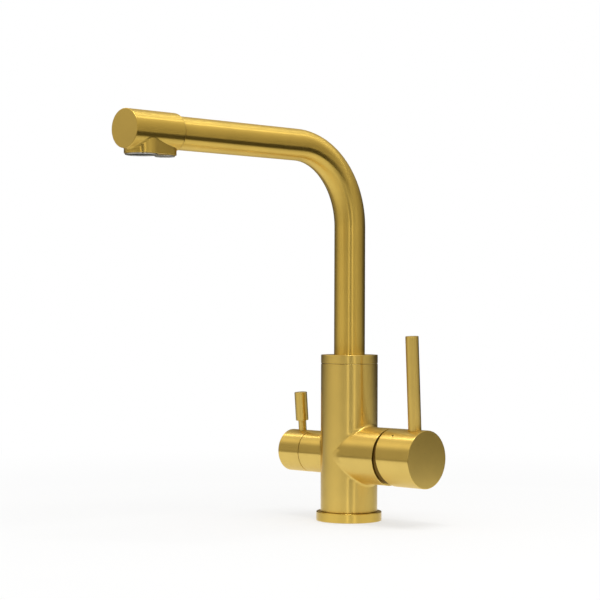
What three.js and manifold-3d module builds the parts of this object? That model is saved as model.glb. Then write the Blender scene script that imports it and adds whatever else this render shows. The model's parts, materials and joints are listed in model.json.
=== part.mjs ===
// Three way kitchen tap with a swivelling L spout, a side lever for mixed water and a
// quarter-turn knob for filtered water. Millimetres, +Z up, origin at the middle of the
// base on the worktop. The spout points along -Y, the mixer lever is on the +X side and
// the filter knob on the -X side.
import * as THREE from 'three';
import { mergeVertices } from 'three/addons/utils/BufferGeometryUtils.js';
import Module from 'manifold-3d';

const wasm = await Module();
wasm.setup();

// ---------------------------------------------------------------- driving dimensions

const SEAT_GAP = 0.3; // clearance between pieces that seat, nest or turn in each other
const EDGE_BREAK = 0.5; // chamfer on the visible turned edges
const LARGE_SIDES = 32; // facets round the body, bosses and cap
const MEDIUM_SIDES = 18; // facets round the levers and inner pieces
const SMALL_SIDES = 10; // facets round pins, screws and small bores
const OVERRUN = 2; // how far a cutting tool runs past the face that it opens

// Base and body
const BODY_DIAMETER = 46;
const BODY_TOP_Z = 126.7;
const FLANGE_LIP = 3.5; // how far the base flange stands out past the body
const FLANGE_HEIGHT = 7.3;
const SPIGOT_STEP = 3; // foot of the body inside the flange, in from the body's side
const SPIGOT_BOTTOM_Z = 2;
const GASKET_WIDTH = 3.4;
const GASKET_THICKNESS = 1.6;
const HOSE_PORT_DIAMETER = 9.2; // tapping size of an M10 x 1 hose end
const HOSE_PORT_WALL = 0.5; // between the filter's hose port and the side of the spigot
const STUD_HOLE_DIAMETER = 6.8; // tapping size of the M8 fixing stud
const STUD_HOLE_DEPTH = 18;
const BLEND_RADIUS = 2.8; // cast fillet where a boss meets the body
const BLEND_FACETS = 3; // across the fillet
const BLEND_STEPS = 10; // along half of the fillet

// Spout joint
const SOCKET_DEPTH = 36; // spout socket, from the top of the body
const BUSH_DIAMETER = 32;
const GLIDE_RING_WIDTH = 3.6;
const GLIDE_RING_THICKNESS = 2;
const COLLAR_HEIGHT = 6.9;
const COLLAR_LIP = 1;
const SEAL_RING_WIRE = 2.1; // section of the spout's sealing rings
const SEAL_RING_OFFSET = 11; // each sealing ring, from the retaining groove
const SOCKET_LEDGE = 3; // ledge and floor of the bush under the tube's end
const SOCKET_LEDGE_HEIGHT = 5;
const RETAINING_GROOVE_WIDTH = 5.2;
const RETAINING_GROOVE_DEPTH = 1.8;
const RETAINING_SCREW_DIAMETER = 4.8;

// Spout
const TUBE_DIAMETER = 25;
const TUBE_WALL = 1.5;
const TUBE_SIDES = 24;
const SPOUT_AXIS_Z = 300; // centreline of the level arm
const BEND_RADIUS = 63;
const BEND_STEPS = 11;
const NOZZLE_DIAMETER = 28.8;
const NOZZLE_END = 238.7; // end face, from the body's axis
const NOZZLE_LENGTH = 48.2;
const NOZZLE_SHOULDER = 1.6; // rounded edge at the tube
const NOZZLE_WALL = 2.4;
const TUBE_INSERTION = 4; // how far the tube goes into the nozzle
const FILTER_TUBE_DIAMETER = 6.4;
const FILTER_TUBE_WALL = 1.1;
const FILTER_TUBE_PLUG = 6; // how far the filter tube goes into the body
const OUTLET_BEND_RADIUS = 8;
const FILTER_TUBE_RECESS = 6; // end of the filter tube, up from the face of the foot

// Outlet foot under the nozzle, with the aerator in front and the filter jet behind
const AERATOR_FROM_AXIS = 222.3;
const JET_FROM_AXIS = 200;
const FOOT_DROP = 3; // foot below the underside of the nozzle
const AERATOR_DIAMETER = 21.8;
const FOOT_WALL = 1.7;
const JET_DIAMETER = 9;
const JET_WALL = 3.8;
const AERATOR_LIP = 1.2; // thickness of the flanges that show under the foot
const AERATOR_HOLES = 8;
const AERATOR_HOLE_DIAMETER = 2.6;

// Mixer: boss, cartridge and lever, along +X
const HANDLE_AXIS_Z = 53.5;
const BOSS_REACH = 45;
const BOSS_WALL = 3;
const CARTRIDGE_DIAMETER = 35;
const CARTRIDGE_WALL = 2.4;
const CARTRIDGE_SEAL_THICKNESS = 1.6;
const CARTRIDGE_BASE_THICKNESS = 4.5;
const MIXER_DISC_THICKNESS = 3.4;
const MOVING_DISC_DIAMETER = 23;
const CARRIER_THICKNESS = 3.8;
const GUIDE_THICKNESS = 6.2;
const HOUSING_TOP_THICKNESS = 2.8;
const NUT_THREAD_DEPTH = 2.1; // nut radius beyond the cartridge
const NUT_THICKNESS = 6.6;
const PORT_CIRCLE_RADIUS = 8.7; // three cartridge ports round the axis
const PORT_DIAMETER = 5.8;
const PIVOT_PIN_DIAMETER = 3;
const PIVOT_HEIGHT = 3.2; // pivot above the guide's inner face
const STEM_WIDTH = 8;
const STEM_LENGTH = 40; // from the pivot outwards
const STEM_TIP_DIAMETER = 3.2;
const STEM_TIP_DROP = 4.5; // rounded tip, from the pivot inwards
const CAP_DIAMETER = 45.8;
const CAP_REACH = 37.4; // end face of the cap, from the boss's end
const CAP_SKIRT_WALL = 0.9;
const CAP_EDGE_TOP_GAP = 1.4; // skirt edge to the boss: above, level with the axis, below
const CAP_EDGE_SIDE_GAP = 3.7;
const CAP_EDGE_BOTTOM_GAP = 8.7;
const CAP_SKIRT_DEPTH = 20;
const CAP_HUB_LENGTH = 5; // boss inside the cap round the stem
const COVER_WALL = 1.1;
const COVER_DEPTH = 6.6;
const LEVER_OFFSET = 26; // lever rod, from the boss's end
const LEVER_DIAMETER = 10.4;
const LEVER_TIP = 96.4; // from the mixer axis
const LEVER_ROOT = 8.5;
const LEVER_REST_TURN = 3; // the lever stands a little forward of upright
const HANDLE_SCREW_DIAMETER = 4.8;
const HANDLE_SCREW_LENGTH = 8;
const INDEX_DOT_DIAMETER = 1.6;
const INDEX_DOT_TURN = 33.7; // forward of the lever
const INDEX_DOT_OFFSET = 14; // from the boss's end

// Filter valve, along -X
const FILTER_BOSS_DIAMETER = 34;
const FILTER_BOSS_REACH = 41.35;
const FILTER_CHAMBER_FLOOR = 12;
const FILTER_CHAMBER_DIAMETER = 18.6;
const FILTER_HEAD_DIAMETER = 24.6;
const FILTER_HEAD_THICKNESS = 4.8;
const FILTER_NECK = 3.8; // head stem above the boss end
const FILTER_WINDOW_WIDTH = 5; // side openings of the valve body
const FILTER_SEAL_THICKNESS = 1.8;
const FILTER_DISC_THICKNESS = 2.7;
const FILTER_DISC_DIAMETER = 13.8;
const SPINDLE_DIAMETER = 7.8;
const SPINDLE_COLLAR = 2.2;
const SPINDLE_OFFSET = 14.65; // outer end, from the boss's end
const KNOB_DIAMETER = 34.1;
const KNOB_LENGTH = 22.65;
const KNOB_CAVITY_DIAMETER = 26;
const FILTER_LEVER_OFFSET = 9.65; // lever pin, from the boss's end
const FILTER_PIN_DIAMETER = 6.5;
const FILTER_PIN_ROOT = 7;
const FILTER_PIN_INSERTION = 6;
const FILTER_SLEEVE_DIAMETER = 10.4;
const FILTER_SLEEVE_START = 25.2;
const FILTER_SLEEVE_TIP = 48.6;
const FILTER_REST_TURN = 4.9;
const FILTER_SCREW_DIAMETER = 3.8;
const FILTER_SCREW_LENGTH = 7;

// ---------------------------------------------------------------- shape functions

// Deletes what only shading needs, joins equal corners and drops collapsed triangles.
function welded(geometry) {
  const bare = geometry.clone();
  bare.deleteAttribute('normal');
  bare.deleteAttribute('uv');
  const merged = mergeVertices(bare, 1e-4);
  const corners = [];
  for (let i = 0; i < merged.index.count; i += 3) {
    const [a, b, c] = [0, 1, 2].map((k) => merged.index.getX(i + k));
    if (a !== b && b !== c && a !== c) corners.push(a, b, c);
  }
  merged.setIndex(corners);
  return merged;
}

function toSolid(geometry) {
  const closed = welded(geometry);
  return new wasm.Manifold(new wasm.Mesh({
    numProp: 3,
    vertProperties: new Float32Array(closed.attributes.position.array),
    triVerts: new Uint32Array(closed.index.array),
  }));
}

function toGeometry(solid) {
  const mesh = solid.getMesh();
  const geometry = new THREE.BufferGeometry();
  geometry.setAttribute('position', new THREE.BufferAttribute(mesh.vertProperties, 3));
  geometry.setIndex(new THREE.BufferAttribute(mesh.triVerts, 1));
  return geometry;
}

function joined(first, ...others) {
  return toGeometry(others.reduce((sum, other) => sum.add(toSolid(other)), toSolid(first)));
}

function cut(first, ...tools) {
  return toGeometry(tools.reduce((rest, tool) => rest.subtract(toSolid(tool)), toSolid(first)));
}

// A profile of [radius, height] points turned about +Z.
function turned(profile, sides) {
  const points = profile.map(([radius, height]) => new THREE.Vector2(radius, height));
  return new THREE.LatheGeometry(points, sides).rotateX(Math.PI / 2);
}

function rod(radius, low, high, sides, edge = 0) {
  const profile = [[0, low], [radius - edge, low]];
  if (edge > 0) profile.push([radius, low + edge], [radius, high - edge]);
  else profile.push([radius, high]);
  if (edge > 0) profile.push([radius - edge, high]);
  profile.push([0, high]);
  return turned(profile, sides);
}

function ring(inner, outer, low, high, sides) {
  return turned([[inner, low], [outer, low], [outer, high], [inner, high], [inner, low]], sides);
}

function block(width, depth, low, high) {
  return new THREE.BoxGeometry(width, depth, high - low).translate(0, 0, (low + high) / 2);
}

// A rod whose axis runs from its start along +Y, or along +X.
function rodAlongY(radius, start, end, sides, edge = 0) {
  return rod(radius, start, end, sides, edge).rotateX(-Math.PI / 2);
}

function rodAlongX(radius, start, end, sides) {
  return rod(radius, start, end, sides).rotateY(Math.PI / 2);
}

// A flat outline of [x, y] corners, extruded from one height to another.
function slab(shape, low, high, curveSegments) {
  const settings = { depth: high - low, bevelEnabled: false, curveSegments, steps: 1 };
  return new THREE.ExtrudeGeometry(shape, settings).translate(0, 0, low);
}

// A rubber ring of round section.
function sealRing(middleRadius, wire, height) {
  const sectionSides = 6;
  const profile = [];
  for (let i = 0; i <= sectionSides; i += 1) {
    const turn = (i % sectionSides) * 2 * Math.PI / sectionSides;
    profile.push([middleRadius + wire / 2 * Math.cos(turn), height + wire / 2 * Math.sin(turn)]);
  }
  return turned(profile, MEDIUM_SIDES);
}

// A path of straight and round stretches, sampled only where it bends.
class PipePath extends THREE.Curve {
  constructor(corners) {
    super();
    this.corners = corners;
  }

  // Each stretch between two listed points takes an equal share of the parameter.
  getPoint(share, target = new THREE.Vector3()) {
    const place = Math.min(share, 1) * (this.corners.length - 1);
    const index = Math.min(Math.floor(place), this.corners.length - 2);
    return target.lerpVectors(this.corners[index], this.corners[index + 1], place - index);
  }

  getPointAt(share, target) {
    return this.getPoint(share, target);
  }

  getTangentAt(share, target = new THREE.Vector3()) {
    const index = Math.round(share * (this.corners.length - 1));
    const before = this.corners[Math.max(index - 1, 0)];
    const after = this.corners[Math.min(index + 1, this.corners.length - 1)];
    const here = this.corners[index];
    const inward = here.clone().sub(before).normalize();
    const outward = after.clone().sub(here).normalize();
    return target.copy(inward).add(outward).normalize();
  }
}

// Points on a quarter bend in the YZ plane, about a centre, from one angle to another.
function bendPoints(centreY, centreZ, radius, fromTurn, toTurn, steps) {
  const points = [];
  for (let i = 0; i <= steps; i += 1) {
    const turn = fromTurn + (toTurn - fromTurn) * i / steps;
    const y = centreY + radius * Math.cos(turn);
    const z = centreZ + radius * Math.sin(turn);
    points.push(new THREE.Vector3(0, y, z));
  }
  return points;
}

function pipe(outer, inner, corners, curveSegments) {
  const section = new THREE.Shape().absarc(0, 0, outer, 0, 2 * Math.PI);
  section.holes.push(new THREE.Path().absarc(0, 0, inner, 0, 2 * Math.PI, true));
  return new THREE.ExtrudeGeometry(section, {
    steps: corners.length - 1,
    curveSegments,
    bevelEnabled: false,
    extrudePath: new PipePath(corners),
  });
}

// The cast fillet between the upright body and a level boss towards +X. A ball of the
// fillet's radius rolls in the corner: its centre keeps the same distance from both
// surfaces, and each section is the arc between the two points that it touches.
function bossBlend(columnRadius, armRadius, radius, fromTurn, toTurn) {
  const buried = 2;
  const sections = [];
  for (let i = 0; i <= BLEND_STEPS; i += 1) {
    const turn = fromTurn + (toTurn - fromTurn) * i / BLEND_STEPS;
    const y = (armRadius + radius) * Math.sin(turn);
    const z = (armRadius + radius) * Math.cos(turn);
    const x = Math.sqrt(Math.max((columnRadius + radius) ** 2 - y ** 2, 0));
    const centre = new THREE.Vector3(x, y, z);
    const toBody = new THREE.Vector3(-x, -y, 0).normalize();
    const toBoss = new THREE.Vector3(0, -y, -z).normalize();
    const between = toBody.angleTo(toBoss);
    const middle = toBody.clone().add(toBoss).normalize();
    const depth = radius / Math.cos(between / 2) + buried;
    const section = [centre.clone().addScaledVector(middle, depth)];
    for (let k = 0; k <= BLEND_FACETS; k += 1) {
      const share = k / BLEND_FACETS;
      const a = Math.sin((1 - share) * between) / Math.sin(between);
      const b = Math.sin(share * between) / Math.sin(between);
      const spoke = toBody.clone().multiplyScalar(a).addScaledVector(toBoss, b);
      section.push(centre.clone().addScaledVector(spoke, radius));
    }
    sections.push(section);
  }
  return loft(sections);
}

// A closed solid through equal sections, with flat ends.
function loft(sections) {
  const count = sections[0].length;
  const positions = sections.flat().flatMap((point) => point.toArray());
  const corners = [];
  for (let i = 0; i < sections.length - 1; i += 1) {
    for (let k = 0; k < count; k += 1) {
      const next = (k + 1) % count;
      const here = i * count;
      const there = here + count;
      corners.push(here + k, here + next, there + k);
      corners.push(here + next, there + next, there + k);
    }
  }
  const last = (sections.length - 1) * count;
  for (let k = 1; k < count - 1; k += 1) {
    corners.push(0, k + 1, k);
    corners.push(last, last + k, last + k + 1);
  }
  const geometry = new THREE.BufferGeometry();
  geometry.setAttribute('position', new THREE.Float32BufferAttribute(positions, 3));
  geometry.setIndex(corners);
  return geometry;
}

// ---------------------------------------------------------------- materials

function finish(color, roughness, metalness) {
  return new THREE.MeshStandardMaterial({ color, roughness, metalness });
}

const BRUSHED_GOLD = [0xc9a24a, 0.34, 1];
const RAW_BRASS = [0xb39346, 0.45, 1];
const STEEL = [0xb9bcc0, 0.35, 1];
const CHROME = [0xd5d7da, 0.12, 1];
const RUBBER = [0x1d1d1f, 0.85, 0];
const CERAMIC = [0xece8df, 0.3, 0];
const WHITE_PLASTIC = [0xe4e4e0, 0.5, 0];
const GREY_PLASTIC = [0x55585c, 0.55, 0];
const DARK_GOLD = [0x5d4718, 0.5, 1];

function addPiece(parent, name, geometry, look) {
  const piece = new THREE.Mesh(geometry, finish(...look));
  piece.name = name;
  parent.add(piece);
  return piece;
}

// ---------------------------------------------------------------- shared places

const bodyRadius = BODY_DIAMETER / 2;
const spigotRadius = bodyRadius - SPIGOT_STEP;
const socketFloor = BODY_TOP_Z - SOCKET_DEPTH;
const bushRadius = BUSH_DIAMETER / 2;
const tubeRadius = TUBE_DIAMETER / 2;
const filterTubeRadius = FILTER_TUBE_DIAMETER / 2;
const retainingZ = BODY_TOP_Z - SOCKET_DEPTH / 2;

const cartridgeRadius = CARTRIDGE_DIAMETER / 2;
const nutRadius = cartridgeRadius + NUT_THREAD_DEPTH;
const bossRadius = nutRadius + SEAT_GAP + BOSS_WALL;
const nutOuterFace = BOSS_REACH + 1;
const nutInnerFace = nutOuterFace - NUT_THICKNESS;
const housingTopOuter = nutInnerFace - SEAT_GAP;
const housingTopInner = housingTopOuter - HOUSING_TOP_THICKNESS;
const guideOuter = housingTopInner - SEAT_GAP;
const guideInner = guideOuter - GUIDE_THICKNESS;
const carrierOuter = guideInner - SEAT_GAP;
const carrierInner = carrierOuter - CARRIER_THICKNESS;
const movingDiscOuter = carrierInner - SEAT_GAP;
const movingDiscInner = movingDiscOuter - MIXER_DISC_THICKNESS;
const fixedDiscOuter = movingDiscInner - SEAT_GAP;
const fixedDiscInner = fixedDiscOuter - MIXER_DISC_THICKNESS;
const cartridgeBaseOuter = fixedDiscInner - SEAT_GAP;
const cartridgeBaseInner = cartridgeBaseOuter - CARTRIDGE_BASE_THICKNESS;
const cartridgeSealOuter = cartridgeBaseInner - SEAT_GAP;
const cartridgeSealInner = cartridgeSealOuter - CARTRIDGE_SEAL_THICKNESS;
const chamberFloor = cartridgeSealInner - SEAT_GAP;
const pivot = guideInner + PIVOT_HEIGHT;
const stemTip = pivot - STEM_TIP_DROP;
const stemEnd = pivot + STEM_LENGTH;
const cartridgeBore = cartridgeRadius - CARTRIDGE_WALL;
const guideRadius = cartridgeBore - SEAT_GAP;
const capEnd = BOSS_REACH + CAP_REACH;
const leverFromBody = BOSS_REACH + LEVER_OFFSET;
const indexDotFromBody = BOSS_REACH + INDEX_DOT_OFFSET;

const portTurns = [0, 2 * Math.PI / 3, -2 * Math.PI / 3]; // outlet above, two inlets below
const ports = portTurns.map((turn) => [
  PORT_CIRCLE_RADIUS * Math.sin(turn),
  PORT_CIRCLE_RADIUS * Math.cos(turn),
]);

const filterBossRadius = FILTER_BOSS_DIAMETER / 2;
const filterChamberRadius = FILTER_CHAMBER_DIAMETER / 2;
const filterHeadRadius = FILTER_HEAD_DIAMETER / 2;
const spindleEnd = FILTER_BOSS_REACH + SPINDLE_OFFSET;
const knobInner = FILTER_BOSS_REACH + SEAT_GAP;
const knobEnd = knobInner + KNOB_LENGTH;
const filterLeverFromBody = FILTER_BOSS_REACH + FILTER_LEVER_OFFSET;

const nozzleStart = NOZZLE_END - NOZZLE_LENGTH;
const tubeEnd = nozzleStart + TUBE_INSERTION;
const nozzleRadius = NOZZLE_DIAMETER / 2;
const footBottom = -nozzleRadius - FOOT_DROP; // below the spout's centreline
const aeratorRadius = AERATOR_DIAMETER / 2;
const jetRadius = JET_DIAMETER / 2;

// Frames: local z runs outwards along the axis, local y is up when at rest.
function axisFrame(outward, turn) {
  const frame = new THREE.Group();
  frame.position.z = HANDLE_AXIS_Z;
  frame.rotation.set(Math.PI / 2 + THREE.MathUtils.degToRad(turn), outward * Math.PI / 2, 0);
  frame.updateMatrix();
  return frame;
}

const mixerFrame = axisFrame(1, 0);
const leverFrame = axisFrame(1, LEVER_REST_TURN);
const filterFrame = axisFrame(-1, 0);
const knobFrame = axisFrame(-1, FILTER_REST_TURN);
const spoutFrame = new THREE.Group();
spoutFrame.position.z = SPOUT_AXIS_Z;

function inFrame(frame, geometry) {
  return geometry.applyMatrix4(frame.matrix);
}

const tap = new THREE.Group();
tap.add(mixerFrame, leverFrame, filterFrame, knobFrame, spoutFrame);

// ---------------------------------------------------------------- base

function baseFlange() {
  const radius = bodyRadius + FLANGE_LIP;
  const bore = spigotRadius + SEAT_GAP;
  const rebate = bore + GASKET_WIDTH + SEAT_GAP;
  const rebateTop = GASKET_THICKNESS + SEAT_GAP;
  return turned([
    [bore, rebateTop],
    [rebate, rebateTop],
    [rebate, 0],
    [radius - EDGE_BREAK, 0],
    [radius, EDGE_BREAK],
    [radius, FLANGE_HEIGHT - EDGE_BREAK],
    [radius - EDGE_BREAK, FLANGE_HEIGHT],
    [bore, FLANGE_HEIGHT],
    [bore, rebateTop],
  ], LARGE_SIDES);
}

function baseGasket() {
  const inner = spigotRadius + SEAT_GAP;
  return ring(inner, inner + GASKET_WIDTH, 0, GASKET_THICKNESS, LARGE_SIDES);
}

addPiece(tap, 'base_flange', baseFlange(), BRUSHED_GOLD);
addPiece(tap, 'base_gasket', baseGasket(), RUBBER);

// ---------------------------------------------------------------- body casting

function bodyOutside() {
  const shoulder = FLANGE_HEIGHT + SEAT_GAP;
  const column = turned([
    [0, SPIGOT_BOTTOM_Z],
    [spigotRadius, SPIGOT_BOTTOM_Z],
    [spigotRadius, shoulder],
    [bodyRadius, shoulder],
    [bodyRadius, BODY_TOP_Z - EDGE_BREAK],
    [bodyRadius - EDGE_BREAK, BODY_TOP_Z],
    [0, BODY_TOP_Z],
  ], LARGE_SIDES);
  const mixerBoss = inFrame(mixerFrame, rod(bossRadius, 0, BOSS_REACH, LARGE_SIDES, EDGE_BREAK));
  const filterBoss = inFrame(
    filterFrame,
    rod(filterBossRadius, 0, FILTER_BOSS_REACH, LARGE_SIDES, EDGE_BREAK),
  );
  return joined(column, mixerBoss, filterBoss, ...bodyBlends());
}

// The fillets above and below each boss, which fade out where the surfaces run together.
function bodyBlends() {
  const blends = [];
  for (const [radius, side] of [[bossRadius, 0], [filterBossRadius, Math.PI]]) {
    const reach = Math.min((bodyRadius + BLEND_RADIUS) / (radius + BLEND_RADIUS), 1);
    const sweep = Math.asin(reach) * (radius < bodyRadius - BLEND_RADIUS ? 1 : 0.93);
    for (const middle of [0, Math.PI]) {
      const fillet = bossBlend(bodyRadius, radius, BLEND_RADIUS, middle - sweep, middle + sweep);
      blends.push(fillet.rotateZ(side).translate(0, 0, HANDLE_AXIS_Z));
    }
  }
  return blends;
}

function spoutSocket() {
  const glideRadius = bushRadius + 2 * SEAT_GAP + GLIDE_RING_WIDTH + SEAT_GAP;
  const glideFloor = BODY_TOP_Z - GLIDE_RING_THICKNESS - SEAT_GAP;
  return [
    rod(bushRadius + SEAT_GAP, socketFloor, BODY_TOP_Z + OVERRUN, MEDIUM_SIDES),
    rod(glideRadius, glideFloor, BODY_TOP_Z + OVERRUN, MEDIUM_SIDES),
    rodAlongY(
      RETAINING_SCREW_DIAMETER / 2 + SEAT_GAP, bushRadius, bodyRadius + OVERRUN, SMALL_SIDES,
    ).translate(0, 0, retainingZ),
  ];
}

function mixerChamber() {
  const bore = rod(
    cartridgeRadius + SEAT_GAP, chamberFloor, BOSS_REACH + OVERRUN, MEDIUM_SIDES,
  );
  const nutSeat = rod(
    nutRadius + SEAT_GAP, nutInnerFace - SEAT_GAP, BOSS_REACH + OVERRUN, MEDIUM_SIDES,
  );
  return [inFrame(mixerFrame, bore), inFrame(mixerFrame, nutSeat)];
}

function filterChamber() {
  const headSeat = FILTER_BOSS_REACH - FILTER_HEAD_THICKNESS - 2 * SEAT_GAP;
  const mouth = FILTER_BOSS_REACH + OVERRUN;
  const bore = rod(filterChamberRadius, FILTER_CHAMBER_FLOOR, mouth, MEDIUM_SIDES);
  const seat = rod(filterHeadRadius + SEAT_GAP, headSeat, mouth, MEDIUM_SIDES);
  return [inFrame(filterFrame, bore), inFrame(filterFrame, seat)];
}

// Drilled waterways: two supplies up to the cartridge, the mixed water on to the socket,
// and the filtered water through its own valve to the middle of the socket.
const supplyX = chamberFloor - HOSE_PORT_DIAMETER / 2 - SEAT_GAP;
const supplyY = ports[1][0] + 1.5;
const filterPortX = -(spigotRadius - HOSE_PORT_WALL - HOSE_PORT_DIAMETER / 2);
const mixedRiserRadius = PORT_DIAMETER / 2;
const mixedRiserX = chamberFloor - 1.1 - mixedRiserRadius;
const filterRiserRadius = filterTubeRadius - SEAT_GAP;

function waterways() {
  const low = SPIGOT_BOTTOM_Z - OVERRUN;
  const tools = [];
  for (const [lateral, height] of ports.slice(1)) {
    const side = Math.sign(lateral);
    const top = HANDLE_AXIS_Z + height;
    const rise = rod(HOSE_PORT_DIAMETER / 2, low, top, SMALL_SIDES);
    const feed = rodAlongX(PORT_DIAMETER / 2, supplyX, chamberFloor + 1, SMALL_SIDES);
    tools.push(rise.translate(supplyX, side * supplyY, 0));
    tools.push(feed.translate(0, lateral, top));
  }
  const outletZ = HANDLE_AXIS_Z + ports[0][1];
  const outlet = rodAlongX(mixedRiserRadius, mixedRiserX, chamberFloor + 1, SMALL_SIDES);
  tools.push(outlet.translate(0, 0, outletZ));
  const mixedRise = rod(mixedRiserRadius, outletZ, socketFloor + 1, SMALL_SIDES);
  tools.push(mixedRise.translate(mixedRiserX, 0, 0));
  const filterRise = rod(HOSE_PORT_DIAMETER / 2, low, HANDLE_AXIS_Z - 4, SMALL_SIDES);
  tools.push(filterRise.translate(filterPortX, 0, 0));
  const filterFeed = rodAlongX(filterRiserRadius, -FILTER_CHAMBER_FLOOR - 1, 0, SMALL_SIDES);
  tools.push(filterFeed.translate(0, 0, HANDLE_AXIS_Z));
  tools.push(rod(filterRiserRadius, HANDLE_AXIS_Z, socketFloor + 1, SMALL_SIDES));
  const plugFloor = socketFloor - FILTER_TUBE_PLUG - SEAT_GAP;
  tools.push(rod(filterTubeRadius + SEAT_GAP, plugFloor, socketFloor + 1, SMALL_SIDES));
  tools.push(rod(STUD_HOLE_DIAMETER / 2, low, SPIGOT_BOTTOM_Z + STUD_HOLE_DEPTH, SMALL_SIDES));
  return tools;
}

function tapBody() {
  const tools = [...spoutSocket(), ...mixerChamber(), ...filterChamber(), ...waterways()];
  return cut(bodyOutside(), ...tools);
}

addPiece(tap, 'tap_body', tapBody(), BRUSHED_GOLD);

// A grub screw along +Z with its tip at the low end and a hexagon socket in the other.
function grubScrew(diameter, tip, tipLength, start, end) {
  const radius = diameter / 2;
  const shank = turned([
    [0, start],
    [tip / 2, start],
    [tip / 2, start + tipLength],
    [radius, start + tipLength],
    [radius, end],
    [0, end],
  ], SMALL_SIDES);
  const keyDepth = diameter / 2;
  return cut(shank, rod(diameter * 0.3, end - keyDepth, end + OVERRUN, 6));
}

const retainingTip = bushRadius - RETAINING_GROOVE_DEPTH + SEAT_GAP;
const retainingTipLength = RETAINING_GROOVE_DEPTH + SEAT_GAP;
const retainingScrew = grubScrew(
  RETAINING_SCREW_DIAMETER, RETAINING_SCREW_DIAMETER * 0.65, retainingTipLength,
  retainingTip, bodyRadius - 1,
).rotateX(-Math.PI / 2);
addPiece(tap, 'spout_retaining_screw', retainingScrew, STEEL).position.z = retainingZ;

const glideInner = bushRadius + 2 * SEAT_GAP;
addPiece(tap, 'spout_glide_ring', ring(
  glideInner, glideInner + GLIDE_RING_WIDTH,
  BODY_TOP_Z - GLIDE_RING_THICKNESS, BODY_TOP_Z, MEDIUM_SIDES,
), WHITE_PLASTIC);

// ---------------------------------------------------------------- mixing cartridge

function portHoles(low, high, diameter) {
  return ports.map(([x, y]) => rod(diameter / 2, low, high, SMALL_SIDES).translate(x, y, 0));
}

function cartridgeHousing() {
  const wall = ring(
    cartridgeBore, cartridgeRadius, cartridgeBaseOuter + SEAT_GAP, housingTopOuter, MEDIUM_SIDES,
  );
  const top = ring(cartridgeBore - 3, cartridgeBore + 1, housingTopInner, housingTopOuter, MEDIUM_SIDES);
  return joined(wall, top);
}

addPiece(mixerFrame, 'cartridge_seal', cut(
  rod(cartridgeBore, cartridgeSealInner, cartridgeSealOuter, MEDIUM_SIDES),
  ...portHoles(cartridgeSealInner - OVERRUN, cartridgeSealOuter + OVERRUN, PORT_DIAMETER + 0.8),
), RUBBER);
addPiece(mixerFrame, 'cartridge_base', cut(
  rod(cartridgeRadius, cartridgeBaseInner, cartridgeBaseOuter, MEDIUM_SIDES),
  ...portHoles(cartridgeBaseInner - OVERRUN, cartridgeBaseOuter + OVERRUN, PORT_DIAMETER),
), GREY_PLASTIC);
addPiece(mixerFrame, 'fixed_ceramic_disc', cut(
  rod(guideRadius, fixedDiscInner, fixedDiscOuter, MEDIUM_SIDES),
  ...portHoles(fixedDiscInner - OVERRUN, fixedDiscOuter + OVERRUN, PORT_DIAMETER),
), CERAMIC);
addPiece(mixerFrame, 'cartridge_housing', cartridgeHousing(), GREY_PLASTIC);

// The nut's flange presses on the housing, and its ring screws into the boss.
function retainingNut() {
  const opening = cartridgeBore - 1.5;
  const nut = ring(opening, nutRadius, nutInnerFace, nutOuterFace, MEDIUM_SIDES);
  const slot = block(2 * nutRadius + OVERRUN, 3, nutOuterFace - 1.6, nutOuterFace + OVERRUN);
  return cut(nut, slot, slot.clone().rotateZ(Math.PI / 2));
}

addPiece(mixerFrame, 'cartridge_nut', retainingNut(), RAW_BRASS);

// The domed ring over the nut is part of a ball about the lever's pivot, so that the
// cap's skirt rocks over it with an even gap.
const capRadius = CAP_DIAMETER / 2;
const capBore = capRadius - CAP_SKIRT_WALL;
const capEdgeTop = BOSS_REACH + CAP_EDGE_TOP_GAP;
const coverRadius = Math.hypot(capBore - SEAT_GAP, capEdgeTop - pivot);

function cartridgeCover() {
  const steps = 3;
  const base = BOSS_REACH + SEAT_GAP;
  const profile = [];
  const radiusAt = (ball, height) => Math.sqrt(ball ** 2 - (height - pivot) ** 2);
  for (let i = 0; i <= steps; i += 1) {
    const height = base + COVER_DEPTH * i / steps;
    profile.push([radiusAt(coverRadius, height), height]);
  }
  for (let i = steps; i >= 0; i -= 1) {
    const height = base + (COVER_DEPTH - COVER_WALL) * i / steps;
    profile.push([radiusAt(coverRadius - COVER_WALL, height), height]);
  }
  profile.push(profile[0]);
  return turned(profile, LARGE_SIDES);
}

addPiece(mixerFrame, 'cartridge_cover', cartridgeCover(), BRUSHED_GOLD);

// ---------------------------------------------------------------- turning mixer parts

// The moving disc has a blind pocket that bridges the ports under it.
function movingDisc() {
  const disc = rod(MOVING_DISC_DIAMETER / 2, movingDiscInner, movingDiscOuter, MEDIUM_SIDES);
  const pocketRadius = MOVING_DISC_DIAMETER / 4;
  const pocketTop = movingDiscInner + MIXER_DISC_THICKNESS * 0.6;
  const pocket = rod(pocketRadius, movingDiscInner - OVERRUN, pocketTop, SMALL_SIDES);
  return cut(disc, pocket.scale(1.35, 1, 1).translate(0, pocketRadius * 0.4, 0));
}

// The carrier drags the moving disc: the stem's tip sits in its cross slot.
function discCarrier() {
  const plate = rod(MOVING_DISC_DIAMETER / 2, carrierInner, carrierOuter, MEDIUM_SIDES);
  const slotFloor = stemTip - STEM_TIP_DIAMETER / 2 - SEAT_GAP;
  const slotLength = STEM_WIDTH * 0.75 + 2 * SEAT_GAP;
  const slotWidth = STEM_TIP_DIAMETER + 2 * SEAT_GAP;
  return cut(plate, block(slotLength, slotWidth, slotFloor, carrierOuter + OVERRUN));
}

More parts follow.
